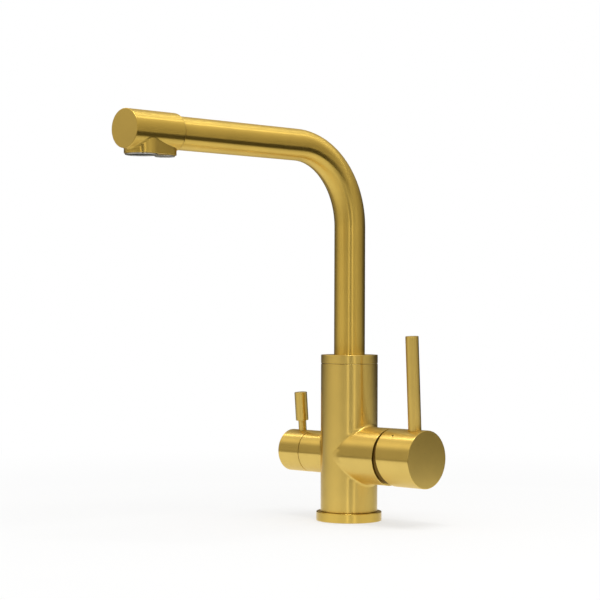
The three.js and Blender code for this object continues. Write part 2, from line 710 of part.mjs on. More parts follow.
function stemGuide() {
  const plate = rod(guideRadius, guideInner, guideOuter, MEDIUM_SIDES);
  const window = block(STEM_WIDTH + 2 * SEAT_GAP, STEM_WIDTH * 1.6, guideInner - 1, guideOuter + 1);
  const pinBore = rodAlongX(
    PIVOT_PIN_DIAMETER / 2 + SEAT_GAP / 2, -guideRadius - 1, guideRadius + 1, SMALL_SIDES,
  );
  return cut(plate, window, pinBore.translate(0, 0, pivot));
}

function leverStem() {
  const finger = block(STEM_WIDTH * 0.75, STEM_TIP_DIAMETER * 0.7, stemTip, pivot);
  const hubRadius = PIVOT_HEIGHT - SEAT_GAP / 2;
  const hub = rodAlongX(hubRadius, -STEM_WIDTH / 2, STEM_WIDTH / 2, MEDIUM_SIDES);
  const shank = block(STEM_WIDTH, STEM_WIDTH, pivot, stemEnd);
  const tipHalf = STEM_WIDTH * 0.375;
  const tip = rodAlongX(STEM_TIP_DIAMETER / 2, -tipHalf, tipHalf, SMALL_SIDES);
  const pinBore = rodAlongX(
    PIVOT_PIN_DIAMETER / 2 + SEAT_GAP / 2, -STEM_WIDTH, STEM_WIDTH, SMALL_SIDES,
  );
  const blank = joined(shank, hub.translate(0, 0, pivot), finger, tip.translate(0, 0, stemTip));
  return cut(blank, pinBore.translate(0, 0, pivot));
}

addPiece(leverFrame, 'moving_ceramic_disc', movingDisc(), CERAMIC);
addPiece(leverFrame, 'disc_carrier', discCarrier(), WHITE_PLASTIC);
addPiece(leverFrame, 'stem_guide', stemGuide(), WHITE_PLASTIC);
addPiece(leverFrame, 'stem_pivot_pin', rodAlongX(
  PIVOT_PIN_DIAMETER / 2, -guideRadius + 1, guideRadius - 1, SMALL_SIDES,
).translate(0, 0, pivot), STEEL);
addPiece(leverFrame, 'lever_stem', leverStem(), RAW_BRASS);

// The tool that trims the skirt's edge: close to the boss above, relieved below, where
// the cap rocks inwards.
function skirtTrim() {
  const beyond = capRadius + OVERRUN;
  const [top, side, bottom] = [CAP_EDGE_TOP_GAP, CAP_EDGE_SIDE_GAP, CAP_EDGE_BOTTOM_GAP];
  const shape = new THREE.Shape();
  shape.moveTo(0, -capRadius);
  shape.lineTo(BOSS_REACH + bottom, -capRadius);
  shape.quadraticCurveTo(
    BOSS_REACH + 2 * side - (top + bottom) / 2, 0, BOSS_REACH + top, capRadius,
  );
  shape.lineTo(0, capRadius);
  return slab(shape, -beyond, beyond, 8).rotateY(-Math.PI / 2);
}

function handleCap() {
  const start = BOSS_REACH;
  const skirtFloor = capEdgeTop + CAP_SKIRT_DEPTH;
  const hubRadius = STEM_WIDTH;
  const hubStart = skirtFloor - CAP_HUB_LENGTH;
  const shell = turned([
    [capBore, start],
    [capRadius, start],
    [capRadius, capEnd - EDGE_BREAK],
    [capRadius - EDGE_BREAK, capEnd],
    [0, capEnd],
    [0, hubStart],
    [hubRadius, hubStart],
    [hubRadius, skirtFloor],
    [capBore, skirtFloor],
    [capBore, start],
  ], LARGE_SIDES);
  const stemFit = STEM_WIDTH + 2 * SEAT_GAP;
  const socket = block(stemFit, stemFit, hubStart - 1, stemEnd + SEAT_GAP);
  const leverHole = rodAlongY(
    LEVER_DIAMETER / 2 + SEAT_GAP, LEVER_ROOT - SEAT_GAP, capRadius + OVERRUN, MEDIUM_SIDES,
  ).translate(0, 0, leverFromBody);
  const screwHole = rodAlongY(
    HANDLE_SCREW_DIAMETER / 2 + SEAT_GAP, -capRadius - OVERRUN, 0, SMALL_SIDES,
  ).translate(0, 0, handleScrewFromBody);
  const dotHole = rodAlongY(
    INDEX_DOT_DIAMETER / 2 + 0.1, capBore - 1, capRadius + OVERRUN, SMALL_SIDES,
  ).rotateZ(indexTurn).translate(0, 0, indexDotFromBody);
  return cut(shell, skirtTrim(), socket, leverHole, screwHole, dotHole);
}

const indexTurn = THREE.MathUtils.degToRad(INDEX_DOT_TURN);
const handleScrewFromBody = stemEnd - STEM_WIDTH / 2;
addPiece(leverFrame, 'handle_cap', handleCap(), BRUSHED_GOLD);
addPiece(leverFrame, 'lever_rod', rodAlongY(
  LEVER_DIAMETER / 2, LEVER_ROOT, LEVER_TIP, MEDIUM_SIDES, EDGE_BREAK,
).translate(0, 0, leverFromBody), BRUSHED_GOLD);

const handleScrewTip = STEM_WIDTH / 2 + SEAT_GAP;
addPiece(leverFrame, 'handle_set_screw', grubScrew(
  HANDLE_SCREW_DIAMETER, HANDLE_SCREW_DIAMETER * 0.6, 1,
  handleScrewTip, handleScrewTip + HANDLE_SCREW_LENGTH,
).rotateX(Math.PI / 2).translate(0, 0, handleScrewFromBody), STEEL);
addPiece(leverFrame, 'index_dot', rodAlongY(
  INDEX_DOT_DIAMETER / 2, capBore, capRadius, SMALL_SIDES,
).rotateZ(indexTurn).translate(0, 0, indexDotFromBody), DARK_GOLD);

// ---------------------------------------------------------------- filter valve

const filterSealInner = FILTER_CHAMBER_FLOOR + SEAT_GAP;
const filterSealOuter = filterSealInner + FILTER_SEAL_THICKNESS;
const filterFixedInner = filterSealOuter + SEAT_GAP;
const filterFixedOuter = filterFixedInner + FILTER_DISC_THICKNESS;
const filterMovingInner = filterFixedOuter + SEAT_GAP;
const filterMovingOuter = filterMovingInner + FILTER_DISC_THICKNESS;
const spindleInner = filterMovingOuter + SEAT_GAP;
const spindleShoulder = spindleInner + SPINDLE_COLLAR;
const filterDiscRadius = FILTER_DISC_DIAMETER / 2;
const spindleRadius = SPINDLE_DIAMETER / 2;
const knobRadius = KNOB_DIAMETER / 2;

// A valve seat disc with a quarter opening on each side.
function quarterDisc(low, high) {
  const openings = [0, Math.PI].map((turn) => {
    const shape = new THREE.Shape();
    shape.absarc(0, 0, filterDiscRadius * 0.8, turn - 0.6, turn + 0.6);
    shape.absarc(0, 0, filterDiscRadius * 0.3, turn + 0.6, turn - 0.6, true);
    return slab(shape, low - OVERRUN, high + OVERRUN, 3);
  });
  return cut(rod(filterDiscRadius, low, high, MEDIUM_SIDES), ...openings);
}

function filterValveBody() {
  const barrel = filterChamberRadius - SEAT_GAP;
  const headOuter = FILTER_BOSS_REACH - SEAT_GAP;
  const headInner = headOuter - FILTER_HEAD_THICKNESS;
  const discBore = filterDiscRadius + SEAT_GAP;
  const spindleBore = spindleRadius + SEAT_GAP;
  const neckOuter = FILTER_BOSS_REACH + FILTER_NECK;
  const boreEnd = spindleShoulder + SEAT_GAP;
  const head = turned([
    [discBore, filterFixedInner],
    [barrel, filterFixedInner],
    [barrel, headInner],
    [filterHeadRadius, headInner],
    [filterHeadRadius, headOuter],
    [barrel, headOuter],
    [barrel, neckOuter],
    [spindleBore, neckOuter],
    [spindleBore, boreEnd],
    [discBore, boreEnd],
    [discBore, filterFixedInner],
  ], MEDIUM_SIDES);
  const window = block(
    FILTER_WINDOW_WIDTH, 2 * barrel + OVERRUN, filterMovingInner, spindleInner,
  );
  return cut(head, window);
}

addPiece(filterFrame, 'filter_valve_seal', ring(
  filterDiscRadius * 0.7, filterChamberRadius - 2 * SEAT_GAP,
  filterSealInner, filterSealOuter, MEDIUM_SIDES,
), RUBBER);
addPiece(filterFrame, 'filter_valve_body', filterValveBody(), RAW_BRASS);
addPiece(filterFrame, 'filter_fixed_disc', quarterDisc(filterFixedInner, filterFixedOuter), CERAMIC);
addPiece(knobFrame, 'filter_moving_disc', quarterDisc(filterMovingInner, filterMovingOuter), CERAMIC);
addPiece(knobFrame, 'filter_spindle', turned([
  [0, spindleInner],
  [filterDiscRadius, spindleInner],
  [filterDiscRadius, spindleShoulder],
  [spindleRadius, spindleShoulder],
  [spindleRadius, spindleEnd],
  [0, spindleEnd],
], MEDIUM_SIDES), RAW_BRASS);

const filterScrewFromBody = spindleEnd - FILTER_SCREW_DIAMETER / 2 - 1;

function filterKnob() {
  const cavityFloor = knobInner + FILTER_NECK + SEAT_GAP;
  const socketRadius = spindleRadius + SEAT_GAP;
  const knob = turned([
    [KNOB_CAVITY_DIAMETER / 2, knobInner],
    [knobRadius - EDGE_BREAK, knobInner],
    [knobRadius, knobInner + EDGE_BREAK],
    [knobRadius, knobEnd - EDGE_BREAK],
    [knobRadius - EDGE_BREAK, knobEnd],
    [0, knobEnd],
    [0, spindleEnd + SEAT_GAP],
    [socketRadius, spindleEnd + SEAT_GAP],
    [socketRadius, cavityFloor],
    [KNOB_CAVITY_DIAMETER / 2, cavityFloor],
    [KNOB_CAVITY_DIAMETER / 2, knobInner],
  ], LARGE_SIDES);
  const pinHole = rodAlongY(
    FILTER_PIN_DIAMETER / 2 + SEAT_GAP, FILTER_PIN_ROOT - SEAT_GAP, knobRadius + OVERRUN, SMALL_SIDES,
  ).translate(0, 0, filterLeverFromBody);
  const screwHole = rodAlongY(
    FILTER_SCREW_DIAMETER / 2 + SEAT_GAP, -knobRadius - OVERRUN, 0, SMALL_SIDES,
  ).translate(0, 0, filterScrewFromBody);
  return cut(knob, pinHole, screwHole);
}

const pinEnd = FILTER_SLEEVE_START + FILTER_PIN_INSERTION;
addPiece(knobFrame, 'filter_knob', filterKnob(), BRUSHED_GOLD);
addPiece(knobFrame, 'filter_lever_pin', rodAlongY(
  FILTER_PIN_DIAMETER / 2, FILTER_PIN_ROOT, pinEnd, SMALL_SIDES,
).translate(0, 0, filterLeverFromBody), BRUSHED_GOLD);
addPiece(knobFrame, 'filter_lever_sleeve', cut(
  rodAlongY(
    FILTER_SLEEVE_DIAMETER / 2, FILTER_SLEEVE_START, FILTER_SLEEVE_TIP, MEDIUM_SIDES, EDGE_BREAK,
  ),
  rodAlongY(
    FILTER_PIN_DIAMETER / 2 + SEAT_GAP, FILTER_SLEEVE_START - 1, pinEnd + SEAT_GAP, SMALL_SIDES,
  ),
).translate(0, 0, filterLeverFromBody), BRUSHED_GOLD);
const filterScrewTip = spindleRadius + SEAT_GAP;
addPiece(knobFrame, 'filter_set_screw', grubScrew(
  FILTER_SCREW_DIAMETER, FILTER_SCREW_DIAMETER * 0.6, 1,
  filterScrewTip, filterScrewTip + FILTER_SCREW_LENGTH,
).rotateX(Math.PI / 2).translate(0, 0, filterScrewFromBody), STEEL);

// ---------------------------------------------------------------- spout

const bushBottom = socketFloor + SEAT_GAP;
const collarBottom = BODY_TOP_Z + SEAT_GAP;
const collarTop = collarBottom + COLLAR_HEIGHT;
const bushTop = collarTop - COLLAR_LIP - SEAT_GAP;
const bushStep = bushBottom + SOCKET_LEDGE_HEIGHT;
const sealRingRadius = bushRadius - SEAT_GAP / 3 - SEAL_RING_WIRE / 2;

function spoutBush() {
  const tubeBore = tubeRadius + SEAT_GAP;
  const waterBore = tubeBore - SOCKET_LEDGE;
  const bush = turned([
    [waterBore, bushBottom],
    [bushRadius, bushBottom],
    [bushRadius, bushTop],
    [tubeBore, bushTop],
    [tubeBore, bushStep],
    [waterBore, bushStep],
    [waterBore, bushBottom],
  ], MEDIUM_SIDES);
  const groove = (middle, width, depth) => ring(
    bushRadius - depth, bushRadius + OVERRUN, middle - width / 2, middle + width / 2, MEDIUM_SIDES,
  );
  const sealDepth = SEAL_RING_WIRE + SEAT_GAP;
  const sealWidth = SEAL_RING_WIRE + 2 * SEAT_GAP;
  return cut(
    bush,
    groove(retainingZ - SEAL_RING_OFFSET, sealWidth, sealDepth),
    groove(retainingZ, RETAINING_GROOVE_WIDTH, RETAINING_GROOVE_DEPTH),
    groove(retainingZ + SEAL_RING_OFFSET, sealWidth, sealDepth),
  );
}

addPiece(tap, 'spout_bush', spoutBush(), RAW_BRASS);
for (const [name, side] of [['spout_lower_seal', -1], ['spout_upper_seal', 1]]) {
  const height = retainingZ + side * SEAL_RING_OFFSET;
  addPiece(tap, name, sealRing(sealRingRadius, SEAL_RING_WIRE, height), RUBBER);
}

function spoutCollar() {
  const tubeBore = tubeRadius + SEAT_GAP;
  const bushBore = bushRadius + SEAT_GAP;
  return turned([
    [bushBore, collarBottom],
    [bodyRadius - EDGE_BREAK, collarBottom],
    [bodyRadius, collarBottom + EDGE_BREAK],
    [bodyRadius, collarTop - EDGE_BREAK],
    [bodyRadius - EDGE_BREAK, collarTop],
    [tubeBore, collarTop],
    [tubeBore, collarTop - COLLAR_LIP],
    [bushBore, collarTop - COLLAR_LIP],
    [bushBore, collarBottom],
  ], LARGE_SIDES);
}

addPiece(tap, 'spout_collar', spoutCollar(), BRUSHED_GOLD);

const bendCentreZ = SPOUT_AXIS_Z - BEND_RADIUS;
const tubePoints = [
  new THREE.Vector3(0, 0, bushStep + SEAT_GAP),
  ...bendPoints(-BEND_RADIUS, bendCentreZ, BEND_RADIUS, 0, Math.PI / 2, BEND_STEPS),
  new THREE.Vector3(0, -tubeEnd, SPOUT_AXIS_Z),
];
addPiece(tap, 'spout_tube', pipe(
  tubeRadius, tubeRadius - TUBE_WALL, tubePoints, TUBE_SIDES / 2,
), BRUSHED_GOLD);

// The filter tube runs up the middle of the spout and turns down into its own jet.
const jetTubeEnd = SPOUT_AXIS_Z + footBottom + FILTER_TUBE_RECESS;
const filterTubePoints = [
  new THREE.Vector3(0, 0, socketFloor - FILTER_TUBE_PLUG),
  ...bendPoints(-BEND_RADIUS, bendCentreZ, BEND_RADIUS, 0, Math.PI / 2, 7),
  ...bendPoints(
    -(JET_FROM_AXIS - OUTLET_BEND_RADIUS), SPOUT_AXIS_Z - OUTLET_BEND_RADIUS,
    OUTLET_BEND_RADIUS, Math.PI / 2, Math.PI, 4,
  ),
  new THREE.Vector3(0, -JET_FROM_AXIS, jetTubeEnd),
];
addPiece(tap, 'filter_water_tube', pipe(
  filterTubeRadius, filterTubeRadius - FILTER_TUBE_WALL, filterTubePoints, 4,
), WHITE_PLASTIC);

// ---------------------------------------------------------------- nozzle and outlets

// The foot's outline seen from below: a large round end about the aerator, a small one
// about the filter jet, and straight sides that touch both.
function footOutline() {
  const front = aeratorRadius + SEAT_GAP + FOOT_WALL;
  const back = jetRadius + SEAT_GAP + JET_WALL;
  const lean = Math.asin((front - back) / (AERATOR_FROM_AXIS - JET_FROM_AXIS));
  const shape = new THREE.Shape();
  shape.absarc(0, -AERATOR_FROM_AXIS, front, Math.PI - lean, 2 * Math.PI + lean);
  shape.absarc(0, -JET_FROM_AXIS, back, lean, Math.PI - lean);
  return shape;
}

function nozzleHead() {
  const sleeveBore = tubeRadius + SEAT_GAP;
  const cavity = nozzleRadius - NOZZLE_WALL;
  const step = tubeEnd + SEAT_GAP;
  const end = NOZZLE_END - NOZZLE_WALL;
  const profile = [[0, nozzleStart]];
  const roundSteps = 3;
  for (let i = 0; i <= roundSteps; i += 1) {
    const turn = i / roundSteps * Math.PI / 2;
    const radius = nozzleRadius - NOZZLE_SHOULDER * (1 - Math.sin(turn));
    profile.push([radius, nozzleStart + NOZZLE_SHOULDER * (1 - Math.cos(turn))]);
  }
  profile.push([nozzleRadius, NOZZLE_END - EDGE_BREAK]);
  profile.push([nozzleRadius - EDGE_BREAK, NOZZLE_END], [0, NOZZLE_END]);
  const barrel = turned(profile, LARGE_SIDES).rotateX(Math.PI / 2);
  const foot = slab(footOutline(), footBottom, 0, 8);
  const aeratorBore = rod(aeratorRadius + SEAT_GAP, footBottom - OVERRUN, 0, MEDIUM_SIDES);
  const jetBore = rod(jetRadius + SEAT_GAP, footBottom - OVERRUN, 0, SMALL_SIDES);
  return cut(
    joined(barrel, foot),
    rod(cavity, nozzleStart, end, MEDIUM_SIDES).rotateX(Math.PI / 2),
    rod(sleeveBore, nozzleStart - OVERRUN, step, MEDIUM_SIDES).rotateX(Math.PI / 2),
    aeratorBore.translate(0, -AERATOR_FROM_AXIS, 0),
    jetBore.translate(0, -JET_FROM_AXIS, 0),
  );
}

addPiece(spoutFrame, 'nozzle_head', nozzleHead(), BRUSHED_GOLD);

const lipTop = footBottom - SEAT_GAP;
const lipBottom = lipTop - AERATOR_LIP;
const housingHeight = 7.5;
const housingBore = aeratorRadius - 1.6;
const housingTop = lipTop + housingHeight;

function aeratorHousing() {
  const lipRadius = aeratorRadius + 1.2;
  return turned([
    [housingBore - 1, lipBottom],
    [lipRadius, lipBottom],
    [lipRadius, lipTop],
    [aeratorRadius, lipTop],
    [aeratorRadius, housingTop],
    [housingBore, housingTop],
    [housingBore, lipTop],
    [housingBore - 1, lipTop],
    [housingBore - 1, lipBottom],
  ], MEDIUM_SIDES);
}

function aeratorInsert() {
  const radius = housingBore - SEAT_GAP;
  const low = lipTop + SEAT_GAP;
  const plate = rod(radius, low, housingTop - SEAT_GAP, MEDIUM_SIDES);
  const holes = [];
  for (let i = 0; i < AERATOR_HOLES; i += 1) {
    const turn = i * 2 * Math.PI / AERATOR_HOLES;
    const hole = rod(AERATOR_HOLE_DIAMETER / 2, low - 1, housingTop + 1, 8);
    holes.push(hole.translate(radius * 0.62 * Math.cos(turn), radius * 0.62 * Math.sin(turn), 0));
  }
  holes.push(rod(AERATOR_HOLE_DIAMETER / 2, low - 1, housingTop + 1, 8));
  return cut(plate, ...holes);
}

function jetInsert() {
  const lipRadius = jetRadius + 1.6;
  const bore = jetRadius - 1.6;
  const top = jetTubeEnd - SPOUT_AXIS_Z - SEAT_GAP;
  return turned([
    [bore, lipBottom],
    [lipRadius, lipBottom],
    [lipRadius, lipTop],
    [jetRadius, lipTop],
    [jetRadius, top],
    [bore, top],
    [bore, lipBottom],
  ], MEDIUM_SIDES);
}

const aeratorPlace = new THREE.Group();
aeratorPlace.position.y = -AERATOR_FROM_AXIS;
spoutFrame.add(aeratorPlace);
addPiece(aeratorPlace, 'aerator_housing', aeratorHousing(), CHROME);
addPiece(aeratorPlace, 'aerator_insert', aeratorInsert(), GREY_PLASTIC);
const washerBottom = housingTop + SEAT_GAP;
addPiece(aeratorPlace, 'aerator_washer', ring(
  housingBore - 1, aeratorRadius - 1.4, washerBottom, washerBottom + 1, MEDIUM_SIDES,
), RUBBER);
addPiece(spoutFrame, 'filter_jet', jetInsert(), CHROME).position.y = -JET_FROM_AXIS;

export default tap;
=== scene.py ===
import json
import math
from collections import namedtuple

import bmesh
import bpy
import numpy as np
from mathutils import Matrix, Vector
from mathutils.geometry import tessellate_polygon


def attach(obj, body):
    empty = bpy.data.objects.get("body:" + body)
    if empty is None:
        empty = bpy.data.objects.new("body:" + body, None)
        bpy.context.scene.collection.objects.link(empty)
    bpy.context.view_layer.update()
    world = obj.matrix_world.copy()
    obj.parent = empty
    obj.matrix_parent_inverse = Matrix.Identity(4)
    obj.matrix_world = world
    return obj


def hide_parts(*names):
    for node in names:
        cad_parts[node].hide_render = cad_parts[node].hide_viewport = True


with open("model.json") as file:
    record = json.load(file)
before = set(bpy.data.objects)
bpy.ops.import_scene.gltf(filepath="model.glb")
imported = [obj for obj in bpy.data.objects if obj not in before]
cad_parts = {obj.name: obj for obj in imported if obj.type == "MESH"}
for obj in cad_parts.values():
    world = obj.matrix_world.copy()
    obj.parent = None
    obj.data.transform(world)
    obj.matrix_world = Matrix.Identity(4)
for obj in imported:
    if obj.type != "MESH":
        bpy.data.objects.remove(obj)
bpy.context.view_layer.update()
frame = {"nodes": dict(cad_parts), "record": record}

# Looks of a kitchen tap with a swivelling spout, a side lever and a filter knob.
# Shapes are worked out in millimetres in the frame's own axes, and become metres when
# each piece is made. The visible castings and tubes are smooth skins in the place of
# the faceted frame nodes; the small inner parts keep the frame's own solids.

FULL = 2 * math.pi
MM = 0.001


def add_object(name, data):
    """A new object, linked to the scene."""
    made = bpy.data.objects.new(name, data)
    bpy.context.scene.collection.objects.link(made)
    return made


# -------------------- camera

VIEW_AZIMUTH = 42.67     # degrees round the object from its front


def make_camera():
    """The photograph's viewpoint: place, turn, nod and roll, and focal length in pixels."""
    azimuth = math.radians(VIEW_AZIMUTH)
    yaw, pitch, roll = (math.radians(angle) for angle in (-1.58, 0.32, 0.20))
    distance, height = 1.45964, 0.16991
    focal_px, image_px, sensor_mm = 1798.5, 600, 36.0
    place = Vector((math.sin(azimuth) * distance, -math.cos(azimuth) * distance, height))
    turn = Matrix.Rotation(azimuth - yaw, 4, "Z")
    nod = Matrix.Rotation(math.pi / 2 + pitch, 4, "X")
    data = bpy.data.cameras.new("camera")
    data.sensor_width = sensor_mm
    data.lens = focal_px * sensor_mm / image_px
    data.clip_end = 50
    camera = add_object("camera", data)
    camera.matrix_world = Matrix.Translation(place) @ turn @ nod @ Matrix.Rotation(roll, 4, "Z")
    bpy.context.scene.camera = camera


make_camera()
bpy.context.scene.view_settings.view_transform = "Standard"


# -------------------- sizes, in millimetres

SIDES = 144              # round the large turned surfaces
LEVER_SIDES = 96
SMALL_SIDES = 64
ROUNDING = 0.45          # of the visible turned edges
SUPPORT = 0.12           # from a rounding to the ring that keeps the surface beside it flat
EDGE = ROUNDING + SUPPORT

BODY_RADIUS, BODY_TOP = 23.0, 126.7
FLANGE_RADIUS, FLANGE_TOP = 26.5, 7.3
COLLAR_BOTTOM, COLLAR_TOP = 127.0, 133.9
SOCKET_RADIUS = 16.3     # for the spout's bush
HANDLE_Z = 53.5          # of the level axis of both handles
MIXER_RADIUS, MIXER_END = 22.9, 45.0
FILTER_RADIUS, FILTER_END = 17.0, 41.35
FILLET = 2.8             # between the body and its bosses

TUBE_RADIUS, TUBE_WALL = 12.5, 1.5
TUBE_BOTTOM, TUBE_END = 96.3, 194.5
SPOUT_Z, BEND_RADIUS = 300.0, 63.0
NOZZLE_RADIUS, NOZZLE_START, NOZZLE_END = 14.4, 190.5, 238.7

LEVER_LEAN = math.radians(3.0)
FILTER_LEAN = math.radians(4.9)
PIVOT = 33.0             # from the body's axis to the pin on which the lever tilts


# -------------------- skins

WELD = 1e-7              # metres within which points become one
SHARP_EDGE = math.radians(35)
FLAT_END = 0.995         # cosine between a flat end's normal and the turning axis


def turns(count):
    return [FULL * i / count for i in range(count)]


def spread(low, high, count):
    return [low + (high - low) * i / count for i in range(count + 1)]


class Skin:
    """Points and faces of one closed skin, in millimetres."""

    def __init__(self):
        self.points = []
        self.faces = []

    def loop(self, points):
        first = len(self.points)
        self.points.extend(Vector(p) for p in points)
        return list(range(first, len(self.points)))

    def rings(self, place, columns, profile):
        """A loop of place(radius, turn, height) for each (radius, height) of a profile."""
        return [self.loop([place(r, u, h) for u in columns]) for r, h in profile]

    def tunnel(self, loops):
        """Faces between closed loops of one count; a loop of one point makes a fan."""
        for one, other in zip(loops, loops[1:]):
            count = max(len(one), len(other))
            for i in range(count):
                j = (i + 1) % count
                here, there = (one[k % len(one)] for k in (i, j))
                above, beside = (other[k % len(other)] for k in (j, i))
                self.faces.append(tuple(dict.fromkeys((here, there, above, beside))))

    def well(self, loops):
        """A tunnel with a flat face across its last loop."""
        self.tunnel(loops)
        self.faces.append(tuple(loops[-1]))

    def fill(self, loops):
        """A flat face with holes: the first loop is the outline."""
        flat = [i for loop in loops for i in loop]
        rings = [[self.points[i] for i in loop] for loop in loops]
        for corners in tessellate_polygon(rings):
            self.faces.append(tuple(flat[c] for c in corners))

    def piece(self, name, body, node, slot, grain=None, look=None):
        """Makes the Blender object, with smooth shading between its sharp edges."""
        mesh = bpy.data.meshes.new(name)
        mesh.from_pydata([p * MM for p in self.points], [], self.faces)
        work = bmesh.new()
        work.from_mesh(mesh)
        bmesh.ops.remove_doubles(work, verts=work.verts, dist=WELD)
        bmesh.ops.recalc_face_normals(work, faces=work.faces)
        work.to_mesh(mesh)
        work.free()
        mesh.shade_smooth()
        mesh.set_sharp_from_angle(angle=SHARP_EDGE)
        mesh.materials.append(look or LOOKS[slot])
        if grain:
            mark_brushing(mesh, grain)
            mesh.materials.append(FLAT_GOLD)
            for face in mesh.polygons:
                axis = grain(face.center / MM)[2]
                if abs(face.normal.dot(axis)) > FLAT_END:
                    face.material_index = 1
        made = add_object(name, mesh)
        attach(made, body)
        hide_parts(node)


def mark_brushing(mesh, grain):
    """Marks the way across the brushing at each point, and how far along it the point is.

    grain(point) gives the point's distance along the turning axis, its foot on that axis
    and the axis. Flat end faces are brushed in circles.
    """
    flat_end, no_way = 0.4, 1e-3
    ways, travels = [], []
    for vertex in mesh.vertices:
        point = vertex.co / MM
        height, foot, axis = grain(point)
        out = point - foot
        way = axis - vertex.normal * axis.dot(vertex.normal)
        if way.length < flat_end:
            way = out - vertex.normal * out.dot(vertex.normal)
        if way.length < no_way:
            way = vertex.normal.orthogonal()
        ways.extend(way.normalized())
        travels.append((height - out.length) * MM)
    mesh.attributes.new("brush_across", "FLOAT_VECTOR", "POINT")
    mesh.attributes.new("brush_travel", "FLOAT", "POINT")
    mesh.attributes["brush_across"].data.foreach_set("vector", ways)
    mesh.attributes["brush_travel"].data.foreach_set("value", travels)


# -------------------- turned shapes

def about(origin, axis):
    """Brushing of a piece turned about one axis."""
    origin, axis = Vector(origin), Vector(axis).normalized()

    def grain(point):
        height = (point - origin).dot(axis)
        return height, origin + axis * height, axis
    return grain


def upright_grain():
    return about((0, 0, 0), (0, 0, 1))


def level_grain(side):
    return about((0, 0, HANDLE_Z), (side, 0, 0))


def lever_grain(side, lean, h):
    return about((side * h, 0, HANDLE_Z), (0, -math.sin(lean), math.cos(lean)))


def axis_place(base, along, zero, quarter):
    """place(radius, turn, height) on an axis, from its ways at turn 0 and a quarter turn."""
    base, along, zero, quarter = (Vector(part) for part in (base, along, zero, quarter))

    def place(r, turn, h):
        return base + along * h + zero * (r * math.cos(turn)) + quarter * (r * math.sin(turn))
    return place


def upright(x=0.0, y=0.0, z=0.0):
    return axis_place((x, y, z), (0, 0, 1), (1, 0, 0), (0, 1, 0))


def level(side, lean):
    """Place on the level axis of the mixer (side 1) or the filter knob (side -1).

    The turn is counted from the lever towards the front.
    """
    out, front = (0, -math.sin(lean), math.cos(lean)), (0, -math.cos(lean), -math.sin(lean))
    return axis_place((0, 0, HANDLE_Z), (side, 0, 0), out, front)


def along_lever(side, lean, h):
    """Place on the lever's own axis, outwards from the level axis."""
    out, back = (0, -math.sin(lean), math.cos(lean)), (0, math.cos(lean), math.sin(lean))
    return axis_place((side * h, 0, HANDLE_Z), out, (1, 0, 0), back)


def swung(start, end, share):
    """The way at a share of the swing between two ways of one length."""
    swing = start.angle(end)
    mix = start * math.sin((1 - share) * swing) + end * math.sin(share * swing)
    return mix / math.sin(swing)


def rounded(corners, closed=False, steps=5):
    """A profile of (radius, height[, rounding]) corners with the marked ones rounded.

    One more point beside each end of a rounding keeps the straight stretches flat.
    """
    out = []
    for i, corner in enumerate(corners):
        here = Vector(corner[:2])
        size = corner[2] if len(corner) > 2 else 0
        if not size:
            out.append(tuple(here))
            continue
        before = (Vector(corners[i - 1][:2]) - here).normalized()
        after = (Vector(corners[(i + 1) % len(corners)][:2]) - here).normalized()
        half = before.angle(after) / 2
        reach = size / math.tan(half)
        middle = here + (before + after).normalized() * (size / math.sin(half))
        start = here + before * reach - middle
        end = here + after * reach - middle
        out.append(tuple(here + before * (reach + SUPPORT)))
        out += [tuple(middle + swung(start, end, k / steps)) for k in range(steps + 1)]
        out.append(tuple(here + after * (reach + SUPPORT)))
    if closed:
        out.append(out[0])
    return out


def rounded_end(radius, end):
    """The rounded edge where a round wall meets its flat end, without the wall's points."""
    return rounded([(radius, end - 10), (radius, end, ROUNDING), (0, end)])[2:-1]


def turned(skin, profile, place, sides=SIDES):
    """Turns a profile round an axis; place(radius, turn, height) gives each point."""
    on_axis = 1e-6
    closed = profile[0] == profile[-1]
    loops = []
    for radius, height in profile[:-1] if closed else profile:
        columns = [0] if radius < on_axis else turns(sides)
        loops += skin.rings(place, columns, [(radius, height)])
    if closed:
        loops.append(loops[0])
    skin.tunnel(loops)
    return loops


def turned_piece(name, body, node, slot, profile, place, sides=SIDES, grain=None, look=None):
    skin = Skin()
    turned(skin, profile, place, sides)
    skin.piece(name, body, node, slot, grain, look)


def rolled(skin, balls, count):
    """Loops of the fillet that a row of balls leaves.

    Each ball has its centre, the ways to both surfaces and its radius.
    """
    return [
        skin.loop([
            centre + swung(one, other, k / count) * radius for centre, one, other, radius in balls
        ])
        for k in range(1, count + 1)
    ]


# -------------------- walls with holes

# A hole takes a block of a wall's columns and rows, and rings run from the block's edge in
# to the hole's outline.
Hole = namedtuple("Hole", "columns rows rings outline")

# A drilled hole has its turn and height, its radius, and the distances from the axis at
# which its wall has loops. Its block is given by columns and by the heights of two rows.
Bore = namedtuple("Bore", "turn height radius distances columns rows rings")


def pierced(skin, rows, holes, place):
    """A wall round an axis with holes in it; place(turn, row) gives each point.

    Returns the first and last loop, and for each hole its own steps and its loop.
    """
    inside, taken = set(), set()
    for hole in holes:
        (c0, c1), (r0, r1) = hole.columns, hole.rows
        inside.update((c % SIDES, r) for c in range(c0 + 1, c1) for r in range(r0 + 1, r1))
        taken.update((c % SIDES, r) for c in range(c0, c1) for r in range(r0, r1))
    index = {}
    for r, height in enumerate(rows):
        for c, turn in enumerate(turns(SIDES)):
            if (c, r) not in inside:
                index[c, r] = skin.loop([place(turn, height)])[0]
    for r in range(len(rows) - 1):
        for c in range(SIDES):
            if (c, r) not in taken:
                d = (c + 1) % SIDES
                skin.faces.append((index[c, r], index[d, r], index[d, r + 1], index[c, r + 1]))
    rims = [hole_rim(skin, hole, index, rows, place) for hole in holes]
    first = [index[c, 0] for c in range(SIDES)]
    last = [index[c, len(rows) - 1] for c in range(SIDES)]
    return first, last, rims


